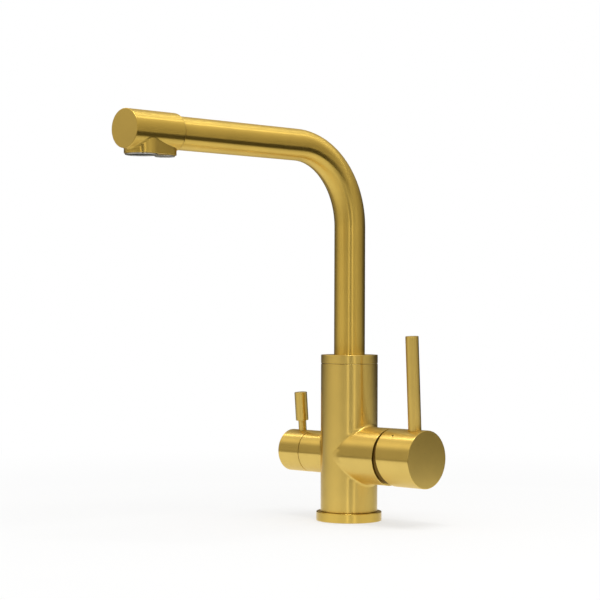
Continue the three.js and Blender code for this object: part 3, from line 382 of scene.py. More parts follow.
def hole_rim(skin, hole, index, rows, place):
    """Rings from the edge of a hole's block to its outline: its steps and its last loop."""
    (c0, c1), (r0, r1) = hole.columns, hole.rows
    border = [(c, r0) for c in range(c0, c1)]
    border += [(c1, r) for r in range(r0, r1)]
    border += [(c, r1) for c in range(c1, c0, -1)]
    border += [(c0, r) for r in range(r1, r0, -1)]
    spots = np.array([(FULL * c / SIDES, rows[r]) for c, r in border])
    steps = matched_steps(spots, hole.outline)
    edge = np.array([hole.outline(t) for t in steps])
    loops = [[index[c % SIDES, r] for c, r in border]]
    for k in range(1, hole.rings + 1):
        share = k / hole.rings
        loops.append(skin.loop([place(*spot) for spot in spots * (1 - share) + edge * share]))
    skin.tunnel(loops)
    return steps, loops[-1]


def matched_steps(spots, outline, samples=1440):
    """For each spot on a block's edge, the step along the outline that lies the same way."""
    def bearings(points):
        middle = (points.max(0) + points.min(0)) / 2
        reach = (points.max(0) - points.min(0)) / 2
        return np.arctan2(*((points - middle) / reach).T[::-1])

    steps = np.arange(samples) * FULL / samples
    ways = np.unwrap(bearings(np.array([outline(t) for t in steps])))
    spot_ways = ways[0] + (bearings(spots) - ways[0]) % FULL
    return np.interp(spot_ways, np.append(ways, ways[0] + FULL), np.append(steps, FULL))


def round_hole(turn, height, wall_radius, radius):
    """Outline of a hole drilled square into a round wall."""
    def at(t):
        return turn + math.asin(radius * math.cos(t) / wall_radius), height + radius * math.sin(t)
    return at


def bore_walls(skin, rim, place, bore):
    """Walls of a drilled hole, and its floor."""
    steps, edge = rim
    middle = Vector(place(0, 0, bore.height))
    out = Vector(place(1, bore.turn, bore.height)) - middle
    across = Vector(place(bore.radius, bore.turn + math.pi / 2, bore.height)) - middle
    along = (Vector(place(0, 0, bore.height + 1)) - middle) * bore.radius
    skin.well([edge] + [
        skin.loop([
            middle + out * distance + across * math.cos(t) + along * math.sin(t) for t in steps
        ])
        for distance in bore.distances
    ])


def bore_hole(bore, rows, wall_radius):
    """The hole that a bore makes in a wall."""
    low, high = bore.rows
    outline = round_hole(bore.turn, bore.height, wall_radius, bore.radius)
    return Hole(bore.columns, (rows.index(low), rows.index(high)), bore.rings, outline)


def bored(skin, rows, wall_radius, bores, place, wall):
    """A wall with drilled holes: its first and last loop."""
    holes = [bore_hole(bore, rows, wall_radius) for bore in bores]
    first, last, rims = pierced(skin, rows, holes, wall)
    for bore, rim in zip(bores, rims):
        bore_walls(skin, rim, place, bore)
    return first, last


# -------------------- finishes

NOISE_MIDDLE = (0.3, 0.7)   # the stretch of a noise over which a finish changes


def feed(tree, node, inputs):
    """Sets each input to a value, or links it where the value is another node's output."""
    for socket, value in inputs.items():
        if isinstance(value, bpy.types.NodeSocket):
            tree.links.new(value, node.inputs[socket])
        else:
            node.inputs[socket].default_value = value


def make_node(tree, kind, inputs=None, **settings):
    """A new shader node with its inputs fed."""
    node = tree.nodes.new("ShaderNode" + kind)
    for name, value in settings.items():
        setattr(node, name, value)
    feed(tree, node, inputs or {})
    return node


def combine(tree, operation, one, other):
    return make_node(tree, "Math", {0: one, 1: other}, operation=operation).outputs[0]


def mix_shaders(tree, factor, one, other):
    return make_node(tree, "MixShader", {0: factor, 1: one, 2: other}).outputs[0]


def noise(tree, scale, stretch=(1, 1, 1), detail=4.0):
    """Noise in the piece's own metres, drawn out along one axis."""
    where = make_node(tree, "TexCoord")
    mapping = make_node(tree, "Mapping", {"Vector": where.outputs["Object"], "Scale": stretch})
    return make_node(tree, "TexNoise", {
        "Vector": mapping.outputs["Vector"], "Scale": scale, "Detail": detail, "Roughness": 0.6,
    }).outputs["Fac"]


def ramp(tree, source, low, high):
    """Two colours over the middle of a noise."""
    node = make_node(tree, "ValToRGB", {"Fac": source})
    for element, position, color in zip(node.color_ramp.elements, NOISE_MIDDLE, (low, high)):
        element.position = position
        element.color = (*color, 1)
    return node.outputs["Color"]


def span(tree, source, low, high):
    """Two values over the middle of a noise."""
    return make_node(tree, "MapRange", {
        "Value": source, "From Min": NOISE_MIDDLE[0], "From Max": NOISE_MIDDLE[1],
        "To Min": low, "To Max": high,
    }).outputs["Result"]


def tinted(color, factor):
    return tuple(min(c * factor, 1) for c in color)


def finish(name, color, metallic, roughness, sockets=None):
    """A node material whose even values sit on the shader's own sockets."""
    material = bpy.data.materials.new(name)
    material.use_nodes = True
    feed(material.node_tree, material.node_tree.nodes["Principled BSDF"], {
        "Base Color": (*color, 1), "Metallic": metallic, "Roughness": roughness,
        **(sockets or {}),
    })
    return material


def enliven(material, broad, colors, grain, gloss, strength, relief):
    """Changes of colour over a broad noise, and a grain in the gloss and the relief."""
    tree = material.node_tree
    bump = make_node(tree, "Bump", {"Strength": strength, "Distance": relief, "Height": grain})
    feed(tree, tree.nodes["Principled BSDF"], {
        "Base Color": ramp(tree, broad, *colors), "Roughness": span(tree, grain, *gloss),
        "Normal": bump.outputs["Normal"],
    })


def brushed(name, color):
    """Satin coating over fine brushing that runs round each turned surface."""
    roughness, gloss_change = 0.31, 0.03
    drift_pace, travel_paces = 45, (1500, 1100, 800)    # noise cells per metre
    bump_strength, relief = 0.07, 0.00002
    material = finish(name, color, 1.0, roughness, {"Anisotropic": 1.0})
    tree = material.node_tree
    across = make_node(tree, "Attribute", attribute_name="brush_across")
    to_world = make_node(
        tree, "VectorTransform", {"Vector": across.outputs["Vector"]},
        vector_type="VECTOR", convert_from="OBJECT", convert_to="WORLD",
    )
    feed(tree, tree.nodes["Principled BSDF"], {"Tangent": to_world.outputs[0]})

    where = make_node(tree, "TexCoord")
    drift = make_node(
        tree, "VectorMath", {0: where.outputs["Object"], "Scale": drift_pace}, operation="SCALE",
    )
    travel = make_node(tree, "Attribute", attribute_name="brush_travel").outputs["Fac"]
    pace = make_node(tree, "CombineXYZ", {
        i: combine(tree, "MULTIPLY", travel, pace) for i, pace in enumerate(travel_paces)
    })
    place = make_node(tree, "VectorMath", {0: drift.outputs[0], 1: pace.outputs[0]})
    lines = make_node(tree, "TexNoise", {"Vector": place.outputs[0], "Scale": 1.0, "Detail": 4.0})
    enliven(
        material, noise(tree, 30, detail=2), (tinted(color, 0.95), tinted(color, 1.04)),
        lines.outputs["Fac"], (roughness - gloss_change, roughness + gloss_change),
        bump_strength, relief,
    )
    return material


def worked(name, color, metallic, roughness, grain, stretch=(1, 1, 1), change=0.1,
           relief=0.00001, sockets=None):
    """A finish with broad changes of colour, and grain in its gloss and its relief.

    grain is the grain's fineness per metre, drawn out by stretch. relief is in metres.
    """
    gloss_change, bump_strength = 0.15, 0.3
    material = finish(name, color, metallic, roughness, sockets)
    tree = material.node_tree
    enliven(
        material, noise(tree, 60, detail=3),
        (tinted(color, 1 - change), tinted(color, 1 + change / 2)), noise(tree, grain, stretch),
        (roughness * (1 - gloss_change), roughness * (1 + gloss_change)), bump_strength, relief,
    )
    return material


GOLD = (0.79, 0.566, 0.151)
WARM_GOLD = brushed("brushed_gold_warm", (0.79, 0.548, 0.120))
FLAT_GOLD = worked("brushed_gold_flat", GOLD, 1.0, 0.32, 1800, change=0.04, relief=0.000003)
# Painted shade: this dark gold stands for the shade that falls in the recess between the mixer
# boss and its cap.
PAINTED_SHADE_GOLD = worked("brushed_gold_painted_shade", (0.17, 0.10, 0.02), 1.0, 0.42, 1800)
LOOKS = {
    "brushed_gold": brushed("brushed_gold", GOLD),
    "dark_gold": worked("dark_gold", (0.10, 0.06, 0.015), 1.0, 0.42, 3000),
    "raw_brass": worked("raw_brass", (0.60, 0.41, 0.14), 1.0, 0.33, 2400, (1, 1, 0.12)),
    "steel": worked("steel", (0.50, 0.50, 0.51), 1.0, 0.34, 2200, (1, 1, 0.1)),
    "chrome": worked("chrome", (0.70, 0.71, 0.72), 1.0, 0.16, 900, change=0.04, relief=0.000004),
    "rubber": worked("rubber", (0.014, 0.014, 0.015), 0, 0.62, 2500, relief=0.00003),
    "ceramic": worked("ceramic", (0.80, 0.78, 0.73), 0, 0.22, 1500, change=0.04, relief=0.000003),
    "white_plastic": worked("white_plastic", (0.72, 0.72, 0.70), 0, 0.42, 1600, change=0.05,
                            sockets={"Subsurface Weight": 0.05}),
    "grey_plastic": worked("grey_plastic", (0.045, 0.047, 0.050), 0, 0.46, 1800),
}


# -------------------- body

# A boss of the body: the turn of its axis, where its plain wall ends, and its cavity with a
# wide mouth down to a shelf and a narrower bore down to a floor.
Boss = namedtuple("Boss", "side radius plain end mouth shelf bore floor")
MIXER = Boss(0.0, MIXER_RADIUS, 40, MIXER_END, 19.9, 39.1, 17.8, 11.3)
FILTER = Boss(math.pi, FILTER_RADIUS, 36, FILTER_END, 12.6, 35.95, 9.3, 12)

SCREW_Z = BODY_TOP - 18  # of the screw at the back that keeps the spout in
RETAINING_BORE = Bore(math.pi / 2, SCREW_Z, 2.7, (21, 17), (32, 40), (SCREW_Z - 6, SCREW_Z + 6), 4)

BODY_FOOT, FOOT_ROUNDING = 7.6, 0.3
UNDERSIDE = 2
HOSE_PORT, STUD_HOLE = 4.6, 3.4


def rolling(radius, t):
    """Centre of the ball that rolls in a boss's corner, and the ways to both surfaces."""
    y = (radius + FILLET) * math.cos(t)
    z = (radius + FILLET) * math.sin(t)
    x = math.sqrt((BODY_RADIUS + FILLET) ** 2 - y ** 2)
    return Vector((x, y, z)), Vector((-x, -y, 0)).normalized(), Vector((0, -y, -z)).normalized()


def boss_outline(boss):
    """The line on the body where a boss's fillet starts."""
    def at(t):
        centre = rolling(boss.radius, t)[0]
        return boss.side + math.atan2(centre.y, centre.x), HANDLE_Z + centre.z
    return at


def boss_skin(skin, rim, boss):
    """Fillet, wall, rounded end and cavity of one boss."""
    steps, edge = rim
    spin = Matrix.Rotation(boss.side, 3, "Z")
    lift = Vector((0, 0, HANDLE_Z))
    place = axis_place(lift, spin @ Vector((1, 0, 0)), spin @ Vector((0, 1, 0)), (0, 0, 1))
    balls = [rolling(boss.radius, t) for t in steps]
    loops = [edge] + rolled(skin, [
        (spin @ centre + lift, spin @ to_body, spin @ to_boss, FILLET)
        for centre, to_body, to_boss in balls
    ], 8)
    for share in (0.2, 0.45, 0.7, 0.9):
        loops.append(skin.loop([
            place(boss.radius, t, centre.x + (boss.plain - centre.x) * share)
            for t, (centre, _, _) in zip(steps, balls)
        ]))
    loops += skin.rings(place, steps, rounded([
        (boss.radius, boss.plain), (boss.radius, boss.end, ROUNDING),
        (boss.mouth, boss.end, 0.2), (boss.mouth, boss.shelf), (boss.bore, boss.shelf),
        (boss.bore, boss.floor),
    ]))
    skin.well(loops)


def body_socket(skin, top):
    """The rounded upper edge, the collar's recess, the spout's socket and its plug hole."""
    recess, recess_floor, socket_floor = 20.9, 124.4, 90.7
    plug_hole, plug_floor = 3.5, 84.4
    skin.well([top] + skin.rings(upright(), turns(SIDES), rounded([
        (BODY_RADIUS, BODY_TOP - 10), (BODY_RADIUS, BODY_TOP, ROUNDING), (recess, BODY_TOP),
        (recess, recess_floor), (SOCKET_RADIUS, recess_floor), (SOCKET_RADIUS, socket_floor),
        (plug_hole, socket_floor), (plug_hole, plug_floor),
    ])[2:]))


def body_underside(skin, bottom):
    """The foot's edge, the spigot in the flange, and the hose ports and stud hole."""
    spigot, port_sides, chamfer = 20, 40, 0.35
    loops = [bottom] + skin.rings(upright(), turns(SIDES), rounded([
        (BODY_RADIUS, 12), (BODY_RADIUS, BODY_FOOT, FOOT_ROUNDING), (spigot, BODY_FOOT),
        (spigot, UNDERSIDE, 0.3), (0, UNDERSIDE),
    ])[2:-1])
    skin.tunnel(loops)
    outlines = [loops[-1]]
    for x, y, radius, top in (
        (6.4, -9.03, HOSE_PORT, 46), (6.4, 9.03, HOSE_PORT, 46), (-14.9, 0, HOSE_PORT, 43.9),
        (0, 0, STUD_HOLE, 20),
    ):
        walls = skin.rings(upright(x, y), turns(port_sides), [
            (radius + chamfer, UNDERSIDE), (radius, UNDERSIDE + chamfer), (radius, top),
        ])
        outlines.append(walls[0])
        skin.well(walls)
    skin.fill(outlines)


def body_grain(point):
    """Brushing round the body, and round each boss from its fillet outwards."""
    boss = MIXER if point.x > 0 else FILTER
    off_axis = math.hypot(point.y, point.z - HANDLE_Z)
    off_column = math.hypot(point.x, point.y)
    on_boss = off_axis < boss.radius + 1.2 and off_column > BODY_RADIUS + 0.2
    return (level_grain(math.cos(boss.side)) if on_boss else upright_grain())(point)


def body_casting():
    """Upright body with both bosses, their rolled fillets, the socket and the ports."""
    skin = Skin()
    place = upright()
    boss_rows = spread(HANDLE_Z - 30, HANDLE_Z + 30, 40)
    rows = [BODY_FOOT + FOOT_ROUNDING + SUPPORT] + spread(11, 20, 3) + boss_rows
    rows += spread(88, 98, 2) + spread(*RETAINING_BORE.rows, 12) + [119, 123, BODY_TOP - EDGE]
    block = (rows.index(boss_rows[0]), rows.index(boss_rows[-1]))
    holes = [
        Hole((-43, 43), block, 12, boss_outline(MIXER)),
        Hole((43, 101), block, 12, boss_outline(FILTER)),
        bore_hole(RETAINING_BORE, rows, BODY_RADIUS),
    ]
    bottom, top, rims = pierced(skin, rows, holes, lambda turn, h: place(BODY_RADIUS, turn, h))
    boss_skin(skin, rims[0], MIXER)
    boss_skin(skin, rims[1], FILTER)
    bore_walls(skin, rims[2], place, RETAINING_BORE)
    body_socket(skin, top)
    body_underside(skin, bottom)
    skin.piece("body_casting", "tap_body", "tap_body", "brushed_gold", body_grain)


def base_parts():
    """The flange with a groove in its underside, and the rubber ring in that groove."""
    hole, groove, groove_top = 20.3, 24.0, 1.9
    turned_piece("flange_ring", "tap_body", "base_flange", "brushed_gold", rounded([
        (hole, groove_top), (groove, groove_top), (groove, 0), (FLANGE_RADIUS, 0, 0.3),
        (FLANGE_RADIUS, FLANGE_TOP, 0.6), (hole, FLANGE_TOP),
    ], closed=True), upright(), grain=upright_grain(), look=WARM_GOLD)
    gasket, gasket_top = 23.7, 1.6
    turned_piece("gasket_ring", "tap_body", "base_gasket", "rubber", rounded([
        (hole, 0, 0.15), (gasket, 0, 0.15), (gasket, gasket_top), (hole, gasket_top),
    ], closed=True), upright())


# -------------------- spout

def spout_collar():
    hole, recess_top = 12.8, 132.9
    turned_piece("collar_ring", "spout", "spout_collar", "brushed_gold", rounded([
        (SOCKET_RADIUS, COLLAR_BOTTOM), (BODY_RADIUS, COLLAR_BOTTOM, 0.3),
        (BODY_RADIUS, COLLAR_TOP, 0.5), (hole, COLLAR_TOP, 0.2), (hole, recess_top),
        (SOCKET_RADIUS, recess_top),
    ], closed=True), upright(), grain=upright_grain())


def spout_pipe():
    """The tube: an upright stretch, a quarter bend and the arm."""
    tube = Skin()
    bend_steps, bend_z, quarter = 56, SPOUT_Z - BEND_RADIUS, math.pi / 2

    def on_bend(turn):
        y = BEND_RADIUS * (math.cos(turn) - 1)
        return Vector((0, y, bend_z + BEND_RADIUS * math.sin(turn)))

    rows = [(Vector((0, 0, z)), 0.0) for z in (TUBE_BOTTOM, 130, 160, 190, 220, 234)]
    rows += [(on_bend(turn), turn) for turn in spread(0, quarter, bend_steps)]
    rows += [(Vector((0, -y, SPOUT_Z)), quarter) for y in (66, 90, 120, 150, 180, TUBE_END)]

    def ring(radius, row):
        middle, turn = row
        place = axis_place(middle, (0, 0, 0), (1, 0, 0), (0, math.cos(turn), math.sin(turn)))
        return tube.loop([place(radius, a, 0) for a in turns(96)])

    outer = [ring(TUBE_RADIUS, row) for row in rows]
    inner = [ring(TUBE_RADIUS - TUBE_WALL, row) for row in reversed(rows)]
    tube.tunnel(outer + inner + outer[:1])

    def grain(point):
        if point.z < bend_z:
            return point.z, Vector((0, 0, point.z)), Vector((0, 0, 1))
        if point.y < -BEND_RADIUS:
            length = bend_z + BEND_RADIUS * quarter - BEND_RADIUS - point.y
            return length, Vector((0, point.y, SPOUT_Z)), Vector((0, -1, 0))
        turn = math.atan2(point.z - bend_z, point.y + BEND_RADIUS)
        axis = Vector((0, -math.sin(turn), math.cos(turn)))
        return bend_z + BEND_RADIUS * turn, on_bend(turn), axis

    tube.piece("spout_pipe", "spout", "spout_tube", "brushed_gold", grain, WARM_GOLD)


# -------------------- nozzle

SHOULDER, SHOULDER_LENGTH = 1.6, 2.8     # of the barrel, at the tube
NARROW_ROLL, WIDE_ROLL = 0.7, 3.0        # in the crease over the foot, behind and in front
ROLL_END = 47.0                          # along the barrel
AERATOR_Y, AERATOR_END, AERATOR_HOLE = -222.3, 12.9, 11.2
JET_Y, JET_END, JET_HOLE = -200.0, 8.6, 4.8
FOOT_BOTTOM, FOOT_EDGE = -17.4, 0.5      # from the barrel's axis, and the lower rounding


def foot_outline():
    """The pear-shaped outline of the outlet foot, as a point and its outward way."""
    lean = math.asin((AERATOR_END - JET_END) / (JET_Y - AERATOR_Y))
    arc_steps = 96
    rows = []
    for middle, radius, start, end in (
        (AERATOR_Y, AERATOR_END, -math.pi - lean, lean),
        (JET_Y, JET_END, lean, math.pi - lean),
    ):
        for turn in spread(start, end, arc_steps):
            way = Vector((math.cos(turn), math.sin(turn), 0))
            rows.append((Vector((0, middle, 0)) + way * radius, way))
    rows.append(rows[0])
    lengths = [0.0]
    for (one, _), (other, _) in zip(rows, rows[1:]):
        lengths.append(lengths[-1] + (other - one).length)

    def at(t):
        reach = (t % FULL) / FULL * lengths[-1]
        i = max(k for k in range(len(lengths) - 1) if lengths[k] <= reach)
        share = (reach - lengths[i]) / max(lengths[i + 1] - lengths[i], 1e-9)
        (point, way), (next_point, next_way) = rows[i], rows[i + 1]
        return point.lerp(next_point, share), way.lerp(next_way, share).normalized()
    return at


foot_at = foot_outline()


def barrel(v):
    """Radius of the barrel at a distance along it."""
    along = min(max(v / SHOULDER_LENGTH, 0), 1)
    return NOZZLE_RADIUS - SHOULDER * (1 - math.sqrt(1 - (1 - along) ** 2))


def roll(t):
    """The small ball that rolls in the crease over the foot; it grows to the front.

    Gives its centre below the barrel's axis, the foot's outward way and its radius.
    """
    growth_start, growth_length = 195, 30
    point, way = foot_at(t)
    growth = min(max((-point.y - growth_start) / growth_length, 0), 1)
    room = (ROLL_END + point.y + NOZZLE_START) / max(-way.y, 0.01)
    size = min(NARROW_ROLL + (WIDE_ROLL - NARROW_ROLL) * growth, room)
    middle = point + way * size
    reach = barrel(-middle.y - NOZZLE_START) + size
    return Vector((middle.x, middle.y, -math.sqrt(reach ** 2 - middle.x ** 2))), way, size


def crease(t):
    """The line on the barrel where the crease over the foot starts."""
    middle = roll(-t)[0]
    return math.atan2(middle.x, -middle.z), -middle.y - NOZZLE_START


# Place on the barrel's axis, with the turn counted from below.
on_barrel = axis_place((0, -NOZZLE_START, SPOUT_Z), (0, -1, 0), (0, 0, -1), (1, 0, 0))


def nozzle_foot(skin, rim):
    """The rolled crease, the foot's wall and lower edge, and both outlets' holes."""
    steps, edge = rim
    lift = Vector((0, 0, SPOUT_Z))
    balls = []
    for middle, way, size in (roll(-t) for t in steps):
        to_barrel = Vector((-middle.x, 0, -middle.z)).normalized()
        balls.append((middle + lift, to_barrel, -way, size))
    loops = [edge] + rolled(skin, balls, 7)
    drops = [(0, FOOT_BOTTOM + FOOT_EDGE + 0.1)]
    for turn in spread(0, math.pi / 2, 4):
        inset = FOOT_EDGE * (1 - math.cos(turn))
        drops.append((inset, FOOT_BOTTOM + FOOT_EDGE * (1 - math.sin(turn))))
    drops.append((FOOT_EDGE + 0.15, FOOT_BOTTOM))
    wall = [foot_at(-t) for t in steps]
    for inset, z in drops:
        loops.append(skin.loop([
            (p.x - w.x * inset, p.y - w.y * inset, SPOUT_Z + z) for p, w in wall
        ]))
    skin.tunnel(loops)
    outlines = [loops[-1]]
    for y, radius, depth in ((AERATOR_Y, AERATOR_HOLE, 9), (JET_Y, JET_HOLE, 6)):
        walls = skin.rings(upright(0, y, SPOUT_Z), turns(72), [
            (radius, FOOT_BOTTOM), (radius, FOOT_BOTTOM + depth),
        ])
        outlines.append(walls[0])
        skin.well(walls)
    skin.fill(outlines)


def nozzle_grain(point):
    """Brushing round the barrel, and round the foot below it."""
    off_axis = math.hypot(point.x, point.z - SPOUT_Z)
    if off_axis > NOZZLE_RADIUS + 0.1:
        return about((0, (AERATOR_Y + JET_Y) / 2, SPOUT_Z), (0, 0, 1))(point)
    return about((0, 0, SPOUT_Z), (0, -1, 0))(point)


def nozzle():
    """Barrel with a rounded shoulder at the tube and the outlet foot under it."""
    skin = Skin()
    length = NOZZLE_END - NOZZLE_START
    block_end, tube_hole, tube_seat, way_radius, way_end = 47.3, 12.8, 4.3, 10.0, 13.2
    shares = (0.1, 0.2, 0.3, 0.42, 0.54, 0.66, 0.78, 0.9, 1)
    rows = [SHOULDER_LENGTH * share ** 2 for share in shares]
    rows += spread(rows[-1], block_end, 34)[1:] + [length - EDGE]
    foot = Hole((-34, 34), (0, rows.index(block_end)), 8, crease)
    columns = turns(SIDES)
    first, last, rims = pierced(skin, rows, [foot], lambda u, v: on_barrel(barrel(v), u, v))
    skin.well([first] + skin.rings(on_barrel, columns, [
        (barrel(0.005), 0), (tube_hole, 0), (tube_hole, tube_seat), (way_radius, tube_seat),
        (way_radius, way_end),
    ]))
    skin.well([last] + skin.rings(on_barrel, columns, rounded_end(NOZZLE_RADIUS, length)))
    nozzle_foot(skin, rims[0])
    skin.piece("nozzle_casting", "spout", "nozzle_head", "brushed_gold", nozzle_grain, WARM_GOLD)


def outlets():
    """The aerator's housing and the filter jet, which show as two thin rims under the foot."""
    lip_bottom, lip_top = -18.3, -17.7
    turned_piece("aerator_rim", "spout", "aerator_housing", "chrome", rounded([
        (8.3, lip_bottom, 0.2), (12.1, lip_bottom, 0.25), (12.1, lip_top, 0.1),
        (10.9, lip_top), (10.9, -10.2), (9.3, -10.2), (9.3, lip_top), (8.3, lip_top),
    ], closed=True), upright(0, AERATOR_Y, SPOUT_Z))
    turned_piece("jet_rim", "spout", "filter_jet", "chrome", rounded([
        (2.9, lip_bottom, 0.2), (7.4, lip_bottom, 0.25), (7.4, lip_top, 0.1),
        (4.5, lip_top), (4.5, -11.7), (2.9, -11.7),
    ], closed=True), upright(0, JET_Y, SPOUT_Z), SMALL_SIDES)


# -------------------- mixer handle

CAP_RADIUS, CAP_END, CAP_BORE = 22.9, 82.4, 22.0
SKIRT_ABOVE, SKIRT_PULL, SKIRT_BELOW = 47.0, 48.1, 53.7     # its edge's curve
SKIRT_LIP = 0.3
STEM_HALF = 4.3          # half the width of the square hole for the stem
LEVER_AT, CAP_SCREW_AT, DOT_AT = 71, 69, 59     # along the level axis
DOT_TURN = math.radians(33.7)
CAP_BORES = (
    Bore(0, LEVER_AT, 5.5, (21.5, 8.2), (-8, 8), (63, 79), 5),
    Bore(math.pi, CAP_SCREW_AT, 2.7, (21.5, 4.32), (68, 76), (65, 73), 3),
    Bore(DOT_TURN, DOT_AT, 0.9, (22.05,), (11, 16), (57, 61), 2),
)


def skirt_edge(turn):
    """Where the cap's skirt ends: near the boss above and drawn back below."""
    t = (1 + math.cos(turn)) / 2
    return (1 - t) ** 2 * SKIRT_BELOW + 2 * t * (1 - t) * SKIRT_PULL + t ** 2 * SKIRT_ABOVE


def handle_cap():
    """The drum: its wall with three holes, its flat end, its skirt's lip and its inside."""
    skin = Skin()
    place = level(1, LEVER_LEAN)
    low, high = 46.6, 56.0       # rows between these follow the skirt's edge
    columns = turns(SIDES)

    def wall(turn, v):
        if v < high:
            edge = skirt_edge(turn) + SKIRT_LIP
            v = edge + (v - low) / (high - low) * (high - edge)
        return place(CAP_RADIUS, turn, v)

    rows = spread(low, high, 5) + spread(57, 62, 5) + spread(63, 79, 16) + [CAP_END - EDGE]
    first, last = bored(skin, rows, CAP_RADIUS, CAP_BORES, place, wall)
    loops = [last] + skin.rings(place, columns, rounded_end(CAP_RADIUS, CAP_END))
    skin.tunnel(loops + [skin.loop([place(0, 0, CAP_END)])])

    lip = [(22.87, 0.12), (22.78, 0.03), (22.65, 0), (22.25, 0), (22.12, 0.03), (22.03, 0.12),
           (CAP_BORE, SKIRT_LIP)]
    loops = [first] + skin.rings(
        lambda r, u, rise: place(r, u, skirt_edge(u) + rise), columns, lip,
    )
    hub, hub_start, cavity_end, stem_end = 8.0, 61.4, 65.2, 73.3
    loops += skin.rings(place, columns, [
        (CAP_BORE, 58), (CAP_BORE, cavity_end), (hub, cavity_end), (hub, hub_start),
    ])

    def square(r, turn, h):
        return place(r / max(abs(math.cos(turn)), abs(math.sin(turn))), turn, h)

    loops += skin.rings(square, columns, [(STEM_HALF, hub_start), (STEM_HALF, stem_end)])
    skin.well(loops)
    skin.piece("cap_drum", "lever_handle", "handle_cap", "brushed_gold", level_grain(1))


def lever_bar():
    start, radius, end = 8.5, 5.2, 96.4
    turned_piece("lever_bar", "lever_handle", "lever_rod", "brushed_gold", rounded([
        (0, start), (radius, start, 0.4), (radius, end, ROUNDING), (0, end),
    ]), along_lever(1, LEVER_LEAN, LEVER_AT), LEVER_SIDES, lever_grain(1, LEVER_LEAN, LEVER_AT))


def index_mark():
    start, radius, end = 22.1, 0.8, 22.9
    turned_piece("index_mark", "lever_handle", "index_dot", "dark_gold", rounded([
        (0, start), (radius, start), (radius, end - 0.04, 0.12), (0, end),
    ]), along_lever(1, LEVER_LEAN + DOT_TURN, DOT_AT), SMALL_SIDES)


def cover_ring():
    """The dome in the gap between boss and cap, round about the lever's pivot; its dark gold is
    painted shade for that recess.
    """
    outer, inner, steps = 24.4, 23.65, 14
    start, outer_end, inner_end = 45.3, 51.3, 50.3
    profile = [
        (math.sqrt(radius ** 2 - (h - PIVOT) ** 2), h)
        for radius, one, other in ((outer, start, outer_end), (inner, inner_end, start))
        for h in spread(one, other, steps)
    ]
    turned_piece("cover_ring", "tap_body", "cartridge_cover", "brushed_gold",
                 profile + profile[:1], level(1, 0), look=PAINTED_SHADE_GOLD)


# -------------------- filter knob

KNOB_RADIUS, KNOB_START, KNOB_END = 17.05, 41.8, 64.3
PIN_AT, KNOB_SCREW_AT = 51, 53.1        # along the level axis
KNOB_BORES = (
    Bore(0, PIN_AT, 3.55, (16, 6.7), (-9, 9), (45, 57), 4),
    Bore(math.pi, KNOB_SCREW_AT, 2.2, (16, 4.22), (67, 77), (49, 57), 3),
)


def filter_knob():
    """The drum: its wall with two holes, its flat end, its rim and its inside."""
    skin = Skin()
    place = level(-1, FILTER_LEAN)
    cavity, cavity_end, spindle, spindle_end = 13, 45.75, 4.2, 56.3
    columns = turns(SIDES)
    rows = [KNOB_START + EDGE, 43.5] + spread(45, 57, 12) + [59, 61.5, KNOB_END - EDGE]
    first, last = bored(skin, rows, KNOB_RADIUS, KNOB_BORES, place,
                        lambda turn, h: place(KNOB_RADIUS, turn, h))
    loops = [last] + skin.rings(place, columns, rounded_end(KNOB_RADIUS, KNOB_END))
    skin.tunnel(loops + [skin.loop([place(0, 0, KNOB_END)])])
    skin.well([first] + skin.rings(place, columns, rounded([
        (KNOB_RADIUS, KNOB_END), (KNOB_RADIUS, KNOB_START, ROUNDING), (cavity, KNOB_START),
        (cavity, cavity_end), (spindle, cavity_end), (spindle, spindle_end),
    ])[2:]))
    skin.piece("knob_drum", "filter_control", "filter_knob", "brushed_gold", level_grain(-1))


def knob_lever():
    """The thin pin in the knob, and the sleeve on it."""
    place, grain = along_lever(-1, FILTER_LEAN, PIN_AT), lever_grain(-1, FILTER_LEAN, PIN_AT)
    start, radius, end = 7, 3.25, 31.2
    turned_piece("knob_pin", "filter_control", "filter_lever_pin", "brushed_gold", [
        (0, start), (radius, start), (radius, end), (0, end),
    ], place, SMALL_SIDES, grain)
    floor, hole, start, radius, end = 31.5, 3.55, 25.2, 5.2, 48.6
    turned_piece("knob_sleeve", "filter_control", "filter_lever_sleeve", "brushed_gold", rounded([
        (0, floor), (hole, floor), (hole, start, 0.15), (radius, start, 0.4),
        (radius, end, ROUNDING), (0, end),
    ]), place, LEVER_SIDES, grain)


# -------------------- grub screws

def grub_screw(name, body, node, place, diameter, tip, tip_length, start, end):
    """Cone-ended screw with its thread's crests and a hexagon key socket."""
    skin = Skin()
    radius = diameter / 2
    pitch, thread_depth, chamfer, sides = 0.7, 0.28, 0.15, 48
    profile = [(0, start), (tip / 2 - chamfer, start), (tip / 2, start + chamfer),
               (tip / 2, start + tip_length)]
    height = start + tip_length + 0.1
    while height + pitch < end - 0.3:
        profile += [(radius - thread_depth, height), (radius, height + pitch / 2)]
        height += pitch
    profile += [(radius - thread_depth, height), (radius - 0.1, end - 0.1), (radius - 0.25, end)]
    loops = turned(skin, profile, place, sides)

    def hexagon(lip, turn, h):
        local = (turn % (FULL / 6)) - FULL / 12
        return place(diameter * 0.26 / math.cos(local) + lip, turn, h)

    key = [(0.12, end), (0, end - 0.12), (0, end - radius)]
    skin.well(loops[-1:] + skin.rings(hexagon, turns(sides), key))
    skin.piece(name, body, node, "steel")


def screws():
    behind = axis_place((0, 0, SCREW_Z), (0, 1, 0), (1, 0, 0), (0, 0, 1))
    grub_screw("retaining_screw", "tap_body", "spout_retaining_screw", behind,
               diameter=4.8, tip=3.12, tip_length=2.1, start=14.5, end=22)
    grub_screw("cap_screw", "lever_handle", "handle_set_screw",
               along_lever(1, LEVER_LEAN + math.pi, CAP_SCREW_AT),
               diameter=4.8, tip=2.88, tip_length=1, start=4.4, end=12.3)
    grub_screw("knob_screw", "filter_control", "filter_set_screw",
               along_lever(-1, FILTER_LEAN + math.pi, KNOB_SCREW_AT),
               diameter=3.8, tip=2.28, tip_length=1, start=4.3, end=11.2)


